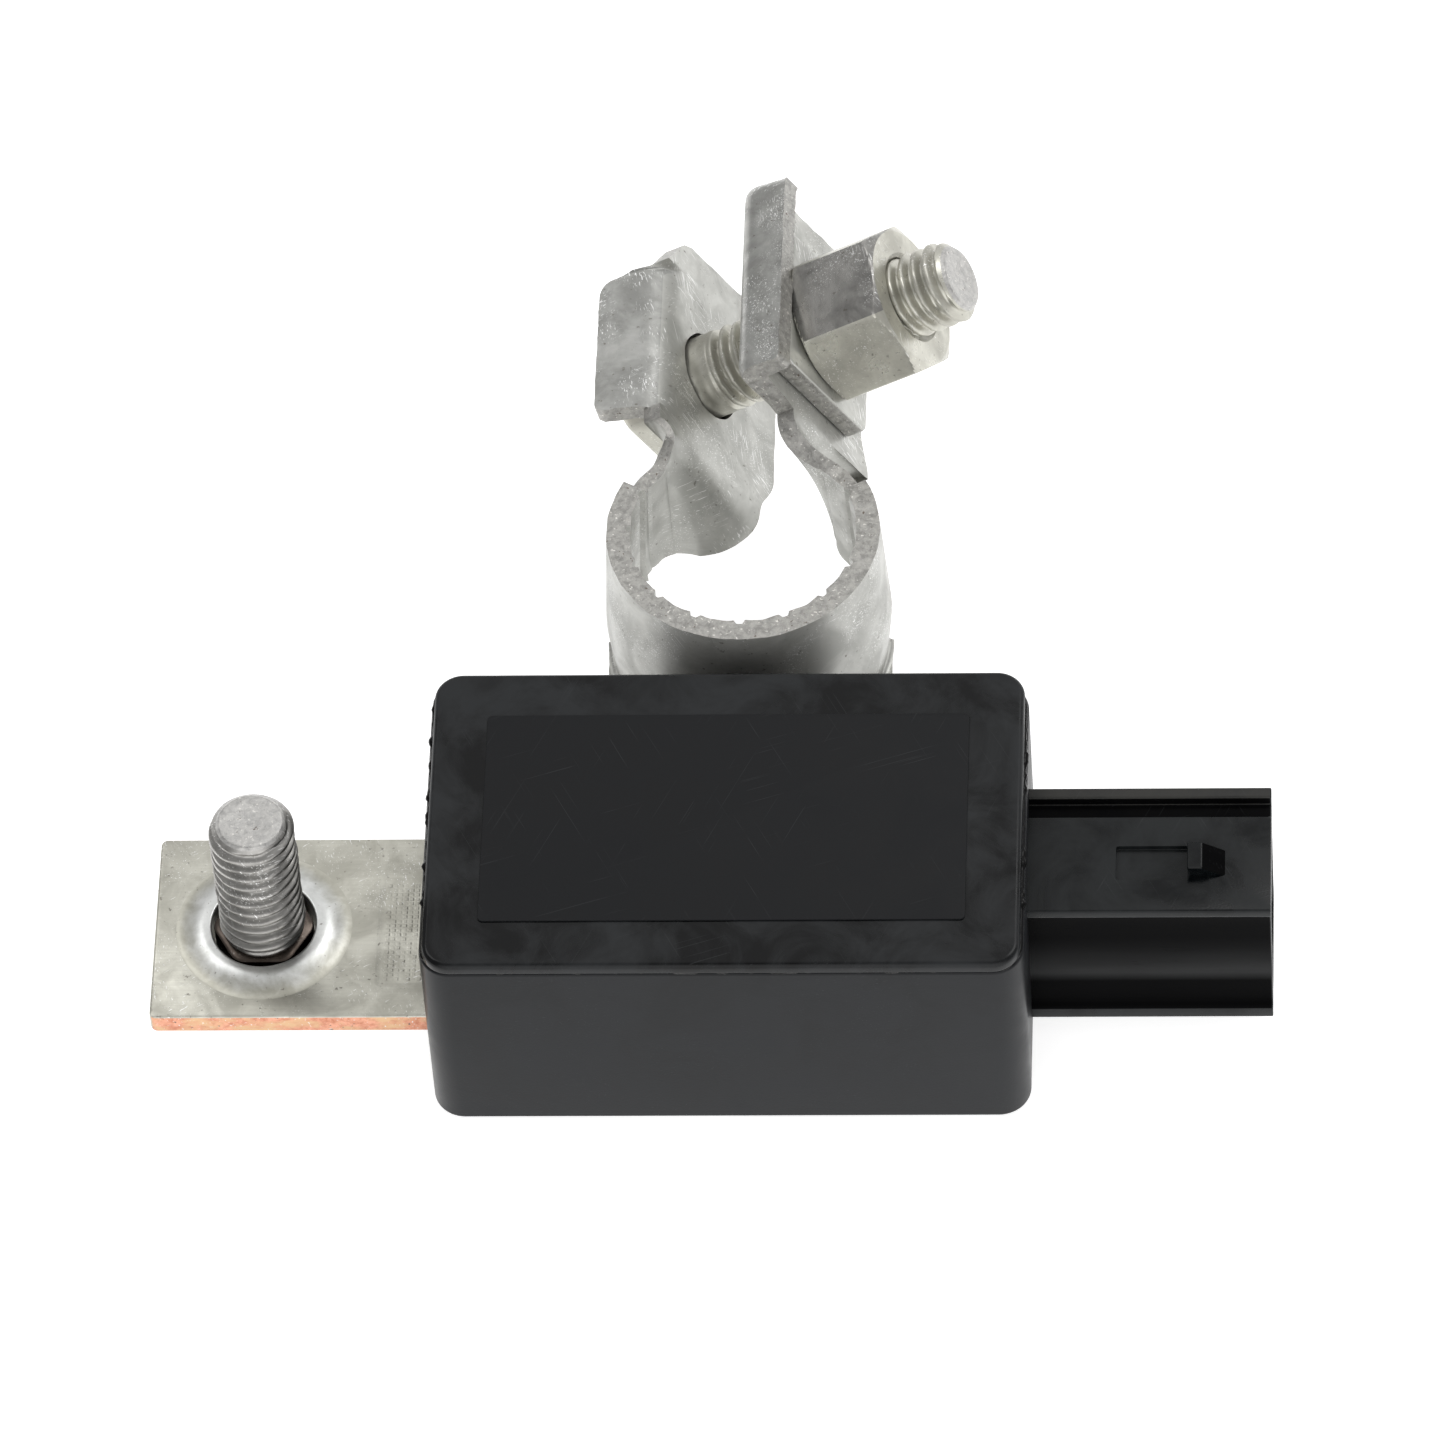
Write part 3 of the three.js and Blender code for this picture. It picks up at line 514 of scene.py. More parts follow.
def make_piece(
    name, points, faces, materials, slot, body=BODY, stands_for=None, face_slots=None, smooth=True,
):
    """Makes an object from points in millimetres and rides it on a body."""
    mesh = bpy.data.meshes.new(name)
    mesh.from_pydata([Vector(p) * MM for p in points], [], faces)
    piece = bpy.data.objects.new(name, mesh)
    bpy.context.scene.collection.objects.link(piece)
    for material in materials:
        mesh.materials.append(material)
    if face_slots is not None:
        mesh.polygons.foreach_set("material_index", face_slots)
    mesh.polygons.foreach_set("use_smooth", [smooth] * len(mesh.polygons))
    mesh.validate()
    mesh.update()
    recalculate(mesh)
    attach(piece, body)
    if stands_for:
        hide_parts(stands_for)
    return piece


def recalculate(mesh):
    working = bmesh.new()
    working.from_mesh(mesh)
    bmesh.ops.recalc_face_normals(working, faces=working.faces)
    working.to_mesh(mesh)
    working.free()


def choose_looks(piece, pick):
    """Sets each face's material index from its centre, in millimetres, and its normal."""
    for polygon in piece.data.polygons:
        polygon.material_index = pick(polygon.center / MM, polygon.normal)


def sharpen(piece, angle):
    """Smooth shading with creases wherever two faces meet at more than the angle."""
    mesh = piece.data
    working = bmesh.new()
    working.from_mesh(mesh)
    limit = math.radians(angle)
    for edge in working.edges:
        edge.smooth = len(edge.link_faces) == 2 and edge.calc_face_angle(0) < limit
    working.to_mesh(mesh)
    working.free()


def bevel(piece, width, segments, angle):
    modifier = piece.modifiers.new("edge_radius", "BEVEL")
    modifier.width = width * MM
    modifier.segments = segments
    modifier.limit_method = "ANGLE"
    modifier.angle_limit = math.radians(angle)
    modifier.harden_normals = True


def carve(piece, cutter):
    """Cuts the cutter out of the piece and removes the cutter."""
    modifier = piece.modifiers.new("carve", "BOOLEAN")
    modifier.object = cutter
    modifier.operation = "DIFFERENCE"
    modifier.solver = "EXACT"
    bpy.context.view_layer.update()
    evaluated = piece.evaluated_get(bpy.context.evaluated_depsgraph_get())
    result = bpy.data.meshes.new_from_object(evaluated)
    piece.modifiers.clear()
    old = piece.data
    piece.data = result
    bpy.data.meshes.remove(old)
    spent = cutter.data
    bpy.data.objects.remove(cutter)
    bpy.data.meshes.remove(spent)


def loft(sections, closed=False):
    """Joins equal-length closed outlines; the ends are capped unless the loft closes on itself."""
    count = len(sections[0])
    points = [p for section in sections for p in section]
    faces = []
    last = len(sections) if closed else len(sections) - 1
    for row in range(last):
        after = (row + 1) % len(sections)
        for i in range(count):
            j = (i + 1) % count
            faces.append((row * count + i, row * count + j, after * count + j, after * count + i))
    if not closed:
        faces.append(tuple(reversed(range(count))))
        faces.append(tuple(range((len(sections) - 1) * count, len(sections) * count)))
    return points, faces


def merge(*parts):
    """Puts several (points, faces) parts into one."""
    points, faces = [], []
    for part_points, part_faces in parts:
        start = len(points)
        points += list(part_points)
        faces += [tuple(start + i for i in face) for face in part_faces]
    return points, faces


def moved(part, matrix):
    points, faces = part
    return [matrix @ Vector(p) for p in points], faces


def rounded_outline(width, height, radius, z, corner_steps=10, centre=(0, 0)):
    radius = max(radius, 0.02)
    points = []
    for quarter, (sx, sy) in enumerate(((1, -1), (1, 1), (-1, 1), (-1, -1))):
        for step in range(corner_steps + 1):
            angle = math.radians(-90 + 90 * quarter + 90 * step / corner_steps)
            x = centre[0] + sx * (width / 2 - radius) + radius * math.cos(angle)
            y = centre[1] + sy * (height / 2 - radius) + radius * math.sin(angle)
            points.append((x, y, z))
    return points


def quarter_turn(steps):
    """Sine and cosine of evenly spaced angles from 0 to 90 degrees."""
    angles = [math.pi / 2 * step / steps for step in range(steps + 1)]
    return [(math.sin(angle), math.cos(angle)) for angle in angles]


def slab_sections(
    width, height, corner, z0, z1, low_edge, high_edge, centre=(0, 0), edge_steps=5, corner_steps=10,
):
    """Outlines of a rounded rectangular plate whose lower and upper edges are rounded too."""
    def section(inset, z):
        size = (width - 2 * inset, height - 2 * inset, corner - inset)
        return rounded_outline(*size, z, corner_steps, centre)

    arc = quarter_turn(edge_steps)
    low = [section(low_edge * (1 - sine), z0 + low_edge * (1 - cosine)) for sine, cosine in arc]
    high = [section(high_edge * (1 - cosine), z1 - high_edge * (1 - sine)) for sine, cosine in arc]
    return low + high


def slab(*sizes, **steps):
    return loft(slab_sections(*sizes, **steps))


def circle(radius, z, segments, centre=(0, 0)):
    angles = [2 * math.pi * i / segments for i in range(segments)]
    return [(centre[0] + radius * math.cos(a), centre[1] + radius * math.sin(a), z) for a in angles]


def lathe(profile, segments=96, closed=False, centre=(0, 0)):
    """A turned solid from [radius, z] points; a closed profile makes a ring."""
    return loft([circle(radius, z, segments, centre) for radius, z in profile], closed)


def smoothstep(t):
    t = min(max(t, 0), 1)
    return t * t * (3 - 2 * t)


def edge_rounding(distance, radius):
    """Share of the radius that a rounded corner loses at a distance from its edge."""
    t = min(max(1 - distance / radius, 0), 1)
    return 1 - math.sqrt(max(0.0, 1 - t * t))


def round_corners(points, radius, steps=4):
    """A 2-D outline with each corner replaced by an arc-like curve."""
    result = []
    count = len(points)
    for i, corner in enumerate(points):
        here = Vector(corner)
        before = Vector(points[i - 1]) - here
        after = Vector(points[(i + 1) % count]) - here
        reach = min(radius, before.length * 0.45, after.length * 0.45)
        first = here + before.normalized() * reach
        last = here + after.normalized() * reach
        for step in range(steps + 1):
            t = step / steps
            result.append(first * (1 - t) ** 2 + here * 2 * t * (1 - t) + last * t * t)
    return result


def inset_outline(points, distance):
    """Moves a counter-clockwise 2-D outline inwards."""
    result = []
    count = len(points)
    for i, point in enumerate(points):
        along = (Vector(points[(i + 1) % count]) - Vector(points[i - 1])).normalized()
        result.append(Vector(point) + Vector((-along.y, along.x)) * distance)
    return result


bolt_frame = Matrix((
    (0, -math.sin(TILT), math.cos(TILT), bolt_middle.x),
    (1, 0, 0, bolt_middle.y),
    (0, math.cos(TILT), math.sin(TILT), bolt_middle.z),
    (0, 0, 0, 1),
))


# ---------------------------------------------------------------- threads


def thread_radius(angle, z, depth=THREAD_DEPTH):
    """Radius of a right-handed rolled M6 thread at a turn angle and a height."""
    phase = (z / THREAD_PITCH - angle / (2 * math.pi)) % 1.0
    from_root = abs(phase - 0.5) * 2
    filled = smoothstep((from_root - 0.16) / (0.84 - 0.16))
    return THREAD_RADIUS - depth * (1 - filled)


def threaded_rod(z0, z1, thread_from, shank_radius, depth=THREAD_DEPTH, segments=72, rows_per_pitch=16):
    """A rod with a plain shank below thread_from and a chamfered, slightly dished end at z1."""
    sections = []
    rows = max(2, round((z1 - z0) / THREAD_PITCH * rows_per_pitch))
    for row in range(rows + 1):
        z = z0 + (z1 - z0) * row / rows
        fade = min(max((z - thread_from) / 0.6, 0), 1)
        cone = THREAD_END_RADIUS + (z1 - z) * 0.95
        section = []
        for i in range(segments):
            angle = 2 * math.pi * i / segments
            radius = shank_radius * (1 - fade) + thread_radius(angle, z, depth) * fade
            wear = noise.noise(Vector((math.cos(angle) * 2.2, math.sin(angle) * 2.2, z * 1.7 + z0)))
            radius = min(radius + wear * 0.08, cone)
            section.append((radius * math.cos(angle), radius * math.sin(angle), z))
        sections.append(section)
    for radius, drop in ((THREAD_END_RADIUS - 0.12, -0.03), (THREAD_END_RADIUS * 0.6, 0.06), (0.2, 0.1)):
        sections.append(circle(radius, z1 - drop, segments))
    return loft(sections)


# ---------------------------------------------------------------- housing


def make_cover():
    part = slab(
        COVER_X - 2 * COVER_INSET, COVER_Y - 2 * COVER_INSET, COVER_CORNER - COVER_INSET,
        TUB_TOP + SEAM, COVER_TOP, 0.15, COVER_EDGE, edge_steps=7, corner_steps=14,
    )
    cover = make_piece("cover", *part, [cover_plastic], "housing_plastic", stands_for="housing_cover")
    sharpen(cover, 50)


def make_label():
    part = slab(
        label_high.x - label_low.x, label_high.y - label_low.y, 0.35,
        COVER_TOP - 0.02, label_high.z, 0.01, 0.04, edge_steps=3, corner_steps=6,
    )
    label = make_piece("label", *part, [label_plastic], "label", stands_for="blank_label")
    sharpen(label, 40)


def tub_shell():
    sections = slab_sections(
        TUB_X, TUB_Y, TUB_CORNER, 0, TUB_TOP, TUB_FOOT_EDGE, TUB_RIM_EDGE, edge_steps=6, corner_steps=14,
    )
    for z in (TUB_TOP, TUB_WALL):
        inner = (TUB_X - 2 * TUB_WALL, TUB_Y - 2 * TUB_WALL, INNER_CORNER)
        sections.append(rounded_outline(*inner, z, 14))
    return loft(sections)


def socket_outline():
    """The socket across its length: grooved top, hollowed sides and a foot flange."""
    side = SOCKET_HALF_Y
    low = SOCKET_BOTTOM + 1.5
    high = SOCKET_TOP - 1.1
    curve = []
    for step in range(9):
        t = step / 8
        curve.append((side - SOCKET_HOLLOW * (0.6 + 0.8 * t * (1 - t)), low * (1 - t) + high * t))
    foot = [(side, SOCKET_BOTTOM), (side, SOCKET_BOTTOM + 1.15)]
    rib = [(side, SOCKET_TOP - 0.75), (side, SOCKET_TOP)]
    near, far, depth = SOCKET_GROOVE
    groove = [(far, SOCKET_TOP), (far, SOCKET_TOP - depth), (near, SOCKET_TOP - depth), (near, SOCKET_TOP)]
    right = [*foot, *curve, *rib]
    return [*right, *groove, *[(-y, z) for y, z in reversed(right)]]


def socket_body():
    outline = round_corners(socket_outline(), 0.2)
    start = TUB_X / 2 - 0.5
    edge = 0.09
    sections = [[(start, y, z) for y, z in outline]]
    for sine, cosine in quarter_turn(3):
        x = SOCKET_END_X - edge * (1 - sine)
        sections.append([(x, y, z) for y, z in inset_outline(outline, edge * (1 - cosine))])
    return loft(sections)


def make_tub():
    tub = make_piece("tub", *tub_shell(), [housing_plastic], "housing_plastic", stands_for="housing_tub")
    sharpen(tub, 40)


def socket_cavity():
    """The socket's opening, flared at its mouth."""
    half = SOCKET_HALF_Y - 0.35 - SOCKET_WALL
    low = SOCKET_BOTTOM + SOCKET_WALL
    high = SOCKET_TOP - SOCKET_GROOVE[2] - SOCKET_WALL
    middle = (low + high) / 2
    stations = (
        (SOCKET_FLOOR_X, 0),
        (SOCKET_END_X - SOCKET_FLARE, 0),
        (SOCKET_END_X + 0.05, SOCKET_FLARE),
        (SOCKET_END_X + 1, SOCKET_FLARE),
    )
    sections = []
    for x, grow in stations:
        outline = rounded_outline(high - low + 2 * grow, 2 * half + 2 * grow, 0.6 + grow, 0, 6)
        sections.append([(x, p[1], middle + p[0]) for p in outline])
    return loft(sections)


def make_socket():
    looks = [socket_plastic, painted_shade_black, lighter_rib_plastic, scoop]
    socket = make_piece("plug_socket", *socket_body(), looks, "housing_plastic")
    carve(socket, make_piece("socket_cavity", *socket_cavity(), [housing_plastic], "housing_plastic"))
    centre = (RECESS_X, LATCH_Y)
    recess = slab(
        RECESS_LENGTH, RECESS_WIDTH, 0.15, SOCKET_TOP - 0.4, SOCKET_TOP + 1, 0.05, 0.05, centre,
    )
    carve(socket, make_piece("recess", *recess, [housing_plastic], "housing_plastic"))
    choose_looks(socket, socket_look)
    sharpen(socket, 32)


def socket_look(place, normal):
    """A socket face's finish: 0 plain, 1 a less reflective black for painted shade in the groove, 2 lighter
    on the rib, 3 scooped side.
    """
    if place.x > SOCKET_END_X - 0.2:
        return 0
    # Painted shade: the groove's faces get the less reflective black.
    if place.y > 2.6 and (place.z < SOCKET_TOP - 0.75 or normal.z < 0.5):
        return 1
    if place.y > 4.2:
        return 2
    scooped = SOCKET_BOTTOM + 1.0 < place.z < SOCKET_TOP - 0.7
    return 3 if scooped and abs(normal.y) > 0.5 else 0


def make_latch():
    profile = [(31.65, -0.5), (33.95, -0.5), (33.95, 0.02), (32.35, 0.95), (31.35, 0.95), (31.4, 0.5)]
    outline = round_corners(profile, 0.12, 3)
    sections = []
    width = LATCH_HALF_WIDTH
    for y, inset in ((-width, 0.1), (-width + 0.1, 0), (width - 0.1, 0), (width, 0.1)):
        sections.append([(x, LATCH_Y + y, SOCKET_TOP + z) for x, z in inset_outline(outline, inset)])
    latch = make_piece("latch_wedge", *loft(sections), [socket_plastic, painted_shade_black], "housing_plastic")
    # Painted shade: the latch's faces that turn towards +X get the less reflective black.
    choose_looks(latch, lambda place, normal: 1 if normal.x > 0.3 else 0)
    sharpen(latch, 40)


def make_adhesive():
    """An uneven bead squeezed out of the seam under the lid, thickest along the front."""
    path = rounded_outline(TUB_X - 0.6, TUB_Y - 0.6, TUB_CORNER - 0.3, TUB_TOP + SEAM / 4, 14)
    dense = []
    for i, point in enumerate(path):
        here = Vector(point)
        after = Vector(path[(i + 1) % len(path)])
        steps = max(1, round((after - here).length / 0.22))
        dense += [here.lerp(after, step / steps) for step in range(steps)]
    sections = []
    count = len(dense)
    for i, point in enumerate(dense):
        along = (dense[(i + 1) % count] - dense[i - 1]).normalized()
        out = Vector((along.y, -along.x, 0))
        lumps = noise.noise(point * 0.6) * 0.8 + noise.noise(point * 1.9) * 0.6
        front = 1.0 if point.y < 0 and abs(point.x + 2) < 14 else 0.4
        size = 0.19 + max(0.0, lumps) * front
        bulge = min(size, 0.4)
        centre = point + Vector((0, 0, SEAM / 4 + max(0.0, size - 0.3) * 0.4))
        ring = []
        for step in range(10):
            angle = 2 * math.pi * step / 10
            rise = Vector((0, 0, size * 0.7 * math.sin(angle)))
            ring.append(centre + out * (bulge * math.cos(angle)) + rise)
        sections.append(ring)
    part = loft(sections, closed=True)
    make_piece("adhesive_bead", *part, [adhesive_black], "adhesive", stands_for="cover_adhesive_bead")


# ---------------------------------------------------------------- bus bar and stud


def hatch_patch(low, high):
    """A coined patch of small pyramids with flat tops."""
    (x0, x1), (y0, y1) = HATCH_X, HATCH_Y
    across = max(2, round((x1 - x0) / HATCH_PITCH))
    along = max(2, round((y1 - y0) / HATCH_PITCH))
    inset = HATCH_PITCH * 0.26
    points, faces = [], []
    for i in range(across):
        for j in range(along):
            left = x0 + (x1 - x0) * i / across
            right = x0 + (x1 - x0) * (i + 1) / across
            front = y0 + (y1 - y0) * j / along
            back = y0 + (y1 - y0) * (j + 1) / along
            top = high - random.random() * 0.02
            start = len(points)
            points += [(left, front, low), (right, front, low), (right, back, low), (left, back, low)]
            points += [
                (left + inset, front + inset, top), (right - inset, front + inset, top),
                (right - inset, back - inset, top), (left + inset, back - inset, top),
            ]
            faces += [tuple(start + k for k in face) for face in (
                (0, 1, 5, 4), (1, 2, 6, 5), (2, 3, 7, 6), (3, 0, 4, 7), (4, 5, 6, 7), (3, 2, 1, 0),
            )]
    return points, faces


def coin_recess():
    """The shallow pan that the hatched pad lies in, with sloping sides."""
    depth = COIN_DEPTH
    stations = ((-depth, -0.5), (-depth * 0.8, -0.25), (-depth * 0.2, 0.25), (0.01, 0.5), (1, 0.5))
    width, height = COIN_SIZE
    return loft([
        rounded_outline(width + grow, height + grow, 0.3 + grow / 2, BAR_TOP + z, 4, COIN_CENTRE)
        for z, grow in stations
    ])


def bar_look(place, normal):
    """A bus bar face's finish: 0 tinned, 1 bare copper on the sheared long sides."""
    return 1 if abs(normal.y) > 0.75 and abs(abs(place.y) - BAR_WIDTH / 2) < 0.3 else 0


def make_bar():
    length = bar_high.x - bar_low.x
    middle = ((bar_low.x + bar_high.x) / 2, 0)
    plate = slab(length, BAR_WIDTH, 0.5, BAR_BOTTOM, BAR_TOP, 0.12, 0.16, middle, 3, 6)
    looks = [tinned, copper_edge]
    bar = make_piece("bus_bar", *plate, looks, "tinned_copper", stands_for="busbar_stud_side")
    bore = [(STUD_HOLE_RADIUS, BAR_BOTTOM - 1), (STUD_HOLE_RADIUS, BAR_TOP + 2)]
    hole = lathe(bore, centre=(STUD_X, 0))
    carve(bar, make_piece("hole", *hole, [tinned], "tinned_copper"))
    carve(bar, make_piece("recess", *coin_recess(), [tinned], "tinned_copper"))
    choose_looks(bar, bar_look)
    sharpen(bar, 30)


def make_boss():
    """The raised boss round the stud's hole: a smooth flank and a rounded bore."""
    top = BAR_TOP + BOSS_HEIGHT
    edge = 0.15
    profile = [(STUD_HOLE_RADIUS, BAR_TOP - 0.5), (STUD_HOLE_RADIUS, top - edge)]
    for sine, cosine in quarter_turn(5)[1:]:
        profile.append((STUD_HOLE_RADIUS + edge * (1 - cosine), top - edge * (1 - sine)))
    for step in range(1, 25):
        t = step / 24
        radius = STUD_HOLE_RADIUS + edge + (BOSS_RADIUS - STUD_HOLE_RADIUS - edge) * t
        fall = smoothstep((t - BOSS_CREST) / (1 - BOSS_CREST))
        profile.append((radius, top - (BOSS_HEIGHT + 0.004) * fall))
    profile.append((BOSS_RADIUS + 0.02, BAR_TOP - 0.5))
    part = lathe(profile, 128, closed=True, centre=(STUD_X, 0))
    boss = make_piece("bus_bar_boss", *part, [boss_painted_highlight], "tinned_copper")
    sharpen(boss, 50)


def make_hatch():
    pan = BAR_TOP - COIN_DEPTH
    part = hatch_patch(pan - 0.01, pan + 0.02)
    make_piece("bus_bar_hatch", *part, [tinned], "tinned_copper", smooth=False)


def hexagon_section(flats, z):
    """A hexagon with rounded corners."""
    corners = []
    for corner in range(6):
        angle = math.radians(60 * corner)
        corners.append(Vector((math.cos(angle), math.sin(angle))) * flats / math.sqrt(3))
    return [(point.x, point.y, z) for point in round_corners(corners, flats * 0.12, 10)]


def make_stud():
    low = stud_low.z
    high = BAR_BOTTOM - GAP
    neck_bottom = BAR_BOTTOM - 0.3
    neck_top = BAR_TOP + BOSS_HEIGHT * 0.9
    flats = STUD_NECK_FLATS
    radius = STUD_HEAD_RADIUS
    rod = threaded_rod(neck_bottom, STUD_TOP, neck_top - 0.1, THREAD_RADIUS - 0.2, 0.44)
    neck = loft([
        hexagon_section(flats, neck_bottom),
        hexagon_section(flats, neck_top - 0.3),
        hexagon_section(flats - 0.05, neck_top - 0.2),
        hexagon_section(flats - 0.4, neck_top - 0.1),
    ])
    head = lathe([
        (radius - 0.4, low), (radius - 0.1, low + 0.12), (radius, low + 0.4),
        (radius, high - 0.2), (radius - 0.15, high),
    ])
    part = moved(merge(rod, neck, head), Matrix.Translation((STUD_X, 0, 0)))
    looks = [stud_steel, stud_face, neck_bronze]
    stud = make_piece("stud", *part, looks, "stud_steel", stands_for="ground_stud")

    def stud_look(place, normal):
        if place.z > STUD_TOP - 0.16:
            return 1
        return 2 if BAR_BOTTOM < place.z < neck_top - 0.1 else 0

    choose_looks(stud, stud_look)
    sharpen(stud, 40)


# ---------------------------------------------------------------- battery post clamp


class Side:
    """One half of the clamp's middle line, from the front of the ring to its ear."""

    def __init__(self, ear_u, hand, root_top, root_bottom):
        self.ear_u = ear_u
        self.hand = hand
        self.root_top = root_top
        self.root_bottom = root_bottom
        ear_x = abs(ear_u) * math.cos(TILT)
        self.arc_end = math.acos((ear_x + TURN_BACK) / (RING_RADIUS + TURN_BACK))
        self.arc_length = RING_RADIUS * (math.pi / 2 + self.arc_end)
        self.length = self.arc_length + TURN_BACK * self.arc_end
        self.twist_from = RING_RADIUS * (math.pi / 2 + TWIST_START)
        self.centre_x = (RING_RADIUS + TURN_BACK) * math.cos(self.arc_end)
        self.centre_y = (RING_RADIUS + TURN_BACK) * math.sin(self.arc_end)
        self.ear_start = self.centre_y - (bolt_middle.y - RING_Y)
        self.ear_z = bolt_middle.z + ear_u * math.sin(TILT)


left_side = Side(LEFT_EAR_U, -1, 18.4, 7.6)
right_side = Side(RIGHT_EAR_U, 1, 19.4, 11.3)


def pad_depth(run, side):
    """Flat gripping pads round the ring's inner face, with a notch between each two."""
    beyond = run - RING_RADIUS * PADS_END
    if beyond > 0:
        return -0.1 if min(abs(beyond - crease) for crease in CREASES) < 0.12 else 0.0
    turn = run / RING_RADIUS / PAD_PITCH
    from_middle = abs(turn - math.floor(turn) - 0.5) * 2
    if from_middle > 0.8 + 0.1 * noise.noise(Vector((turn // 1 * 3.7, side.hand, 0))):
        return 0.0
    sag = (RING_RADIUS - SHEET / 2) * (1 - math.cos(PAD_PITCH / 2))
    return PAD_DEPTH + sag * (from_middle ** 2 - 0.6)


def post_taper(z, turn):
    """How far the ring's wall stands out at a height: it widens downwards, then tucks in."""
    if z > POST_TAPER_END:
        return (RING_TOP - z) * POST_TAPER * (1 - turn)
    widest = (RING_TOP - POST_TAPER_END) * POST_TAPER
    return (widest - (POST_TAPER_END - z) * 0.1) * (1 - turn)


class Column:
    """One line across the clamp's sheet, at a run from the ring's front or along an ear."""

    def __init__(self, side, run):
        self.side = side
        self.run = run
        hand = side.hand
        along_ear = max(0.0, run - side.length)
        bent = min(run, side.length)
        if bent < side.arc_length:
            angle = bent / RING_RADIUS - math.pi / 2
            out = (math.cos(angle), math.sin(angle))
            x, y = RING_RADIUS * out[0], RING_RADIUS * out[1]
        else:
            angle = math.pi + side.arc_end - (bent - side.arc_length) / TURN_BACK
            out = (-math.cos(angle), -math.sin(angle))
            x, y = side.centre_x - TURN_BACK * out[0], side.centre_y - TURN_BACK * out[1]
        self.angle = angle
        self.out = Vector((hand * out[0], out[1], 0))
        self.turn = smoothstep((bent - side.twist_from) / (side.length - side.twist_from))
        tilt = TILT * self.turn
        self.up = Vector((0, 0, math.cos(tilt))) - self.out * (hand * math.sin(tilt))
        self.across = self.out * math.cos(tilt) + Vector((0, 0, hand * math.sin(tilt)))
        ring_middle = (RING_TOP + RING_BOTTOM) / 2
        self.middle = ring_middle + (side.ear_z - ring_middle) * self.turn
        self.cos_tilt = math.cos(tilt)
        self.base = Vector((RING_X + hand * x, RING_Y + y + along_ear, self.middle))
        self.v = side.ear_start + along_ear if run >= side.length else None
        self.in_ear = smoothstep(along_ear / 1.2)
        self.front_half = run < RING_RADIUS * (math.pi / 2 + 0.03)
        self.set_edges()

    def set_edges(self):
        side = self.side
        top = RING_TOP + (side.root_top - RING_TOP) * self.turn
        if self.run > RING_RADIUS * PADS_END:
            top -= RIM_STEP * (1 - self.turn)
        bottom = RING_BOTTOM + (side.root_bottom - RING_BOTTOM) * self.turn
        if self.front_half:
            bottom = BAR_BOTTOM + 0.1 + SHEET / 2 + FOOT_BEND
        self.w_top = (top - self.middle) / self.cos_tilt
        self.w_bottom = (bottom - self.middle) / self.cos_tilt
        self.upper = None
        self.bend = 0.0
        if self.v is None:
            return
        v = self.v
        edge = TAB if side.hand < 0 else FLANGE
        if edge["from"] - 1e-6 <= v <= edge["to"] + 1e-6:
            self.w_top = edge["start"] - edge["droop"] * edge_rounding(edge["to"] - v, 1.4)
            self.upper = edge
            self.bend = edge["bend"]
            self.flat = edge["flat"]
            self.flat -= edge["front_round"] * edge_rounding(v - edge["from"], edge["front_round"])
            self.flat -= edge["back_round"] * edge_rounding(edge["to"] - v, edge["back_round"])
        elif v > edge["to"]:
            t = (v - edge["to"]) / (EAR_BACK[side.hand] - edge["to"])
            plate = EAR_TOP_RISE - EAR_TOP_FALL * t - 0.8 * edge_rounding(EAR_BACK[side.hand] - v, 0.8)
            full = edge["radius"] * edge["bend"] + edge["flat"] - edge["back_round"]
            length = plate + (full - plate) * (1 - smoothstep((v - edge["to"]) / 0.7))
            self.w_top = edge["start"] + min(0.0, length - 0.1)
            self.upper = edge
            self.bend = edge["bend"] * (1 - smoothstep((v - edge["to"]) / 1.3))
            self.flat = max(0.1, length - edge["radius"] * self.bend)
        elif side.hand > 0:
            self.w_top += (edge["start"] - self.w_top) * smoothstep(1 - (edge["from"] - v) / 0.5)
        drop = smoothstep((v - side.ear_start) / 3.5)
        self.w_bottom = self.w_bottom + (EAR_LOW[side.hand] - self.w_bottom) * drop
        past = v - (EAR_BACK[side.hand] - EAR_CORNER)
        if past > 0:
            level = math.sqrt(max(0.0, EAR_CORNER * EAR_CORNER - past * past))
            self.w_bottom += EAR_CORNER - level * 0.999

    def point(self, w, offset):
        z = self.middle + w * self.cos_tilt
        taper = self.out * post_taper(z, self.turn)
        return self.base + self.up * w + self.across * offset + taper

    def foot_reach(self):
        """How far the foot flange may stand out: to the tongue's sides or into the housing's wall."""
        sideways = TONGUE_HALF + 0.2
        forward = RING_Y - (TUB_Y / 2 - 0.6)
        cosine = abs(self.out.x)
        sine = abs(min(self.out.y, 0))
        limit = min(sideways / max(cosine, 1e-6), forward / max(sine, 1e-6))
        wall = RING_RADIUS + post_taper(BAR_BOTTOM + 2.5, 0)
        return max(0.0, limit - wall)

    def foot_point(self, share, offset):
        """A point of the foot: share 0 to 0.5 runs round the bend, then along the flat."""
        reach = self.foot_reach()
        full = math.pi / 2 if reach > FOOT_BEND else math.acos(max(0.0, 1 - reach / FOOT_BEND))
        angle = full * min(share / 0.5, 1.0)
        flat = max(0.0, reach - FOOT_BEND) * max(0.0, share - 0.5) / 0.5
        start = self.point(self.w_bottom, 0)
        centre = start + self.out * FOOT_BEND
        fall = Vector((0, 0, FOOT_BEND * math.sin(angle)))
        middle = centre - self.out * (FOOT_BEND * math.cos(angle)) - fall
        normal = self.out * math.cos(angle) + Vector((0, 0, math.sin(angle)))
        return middle + self.out * flat + normal * offset

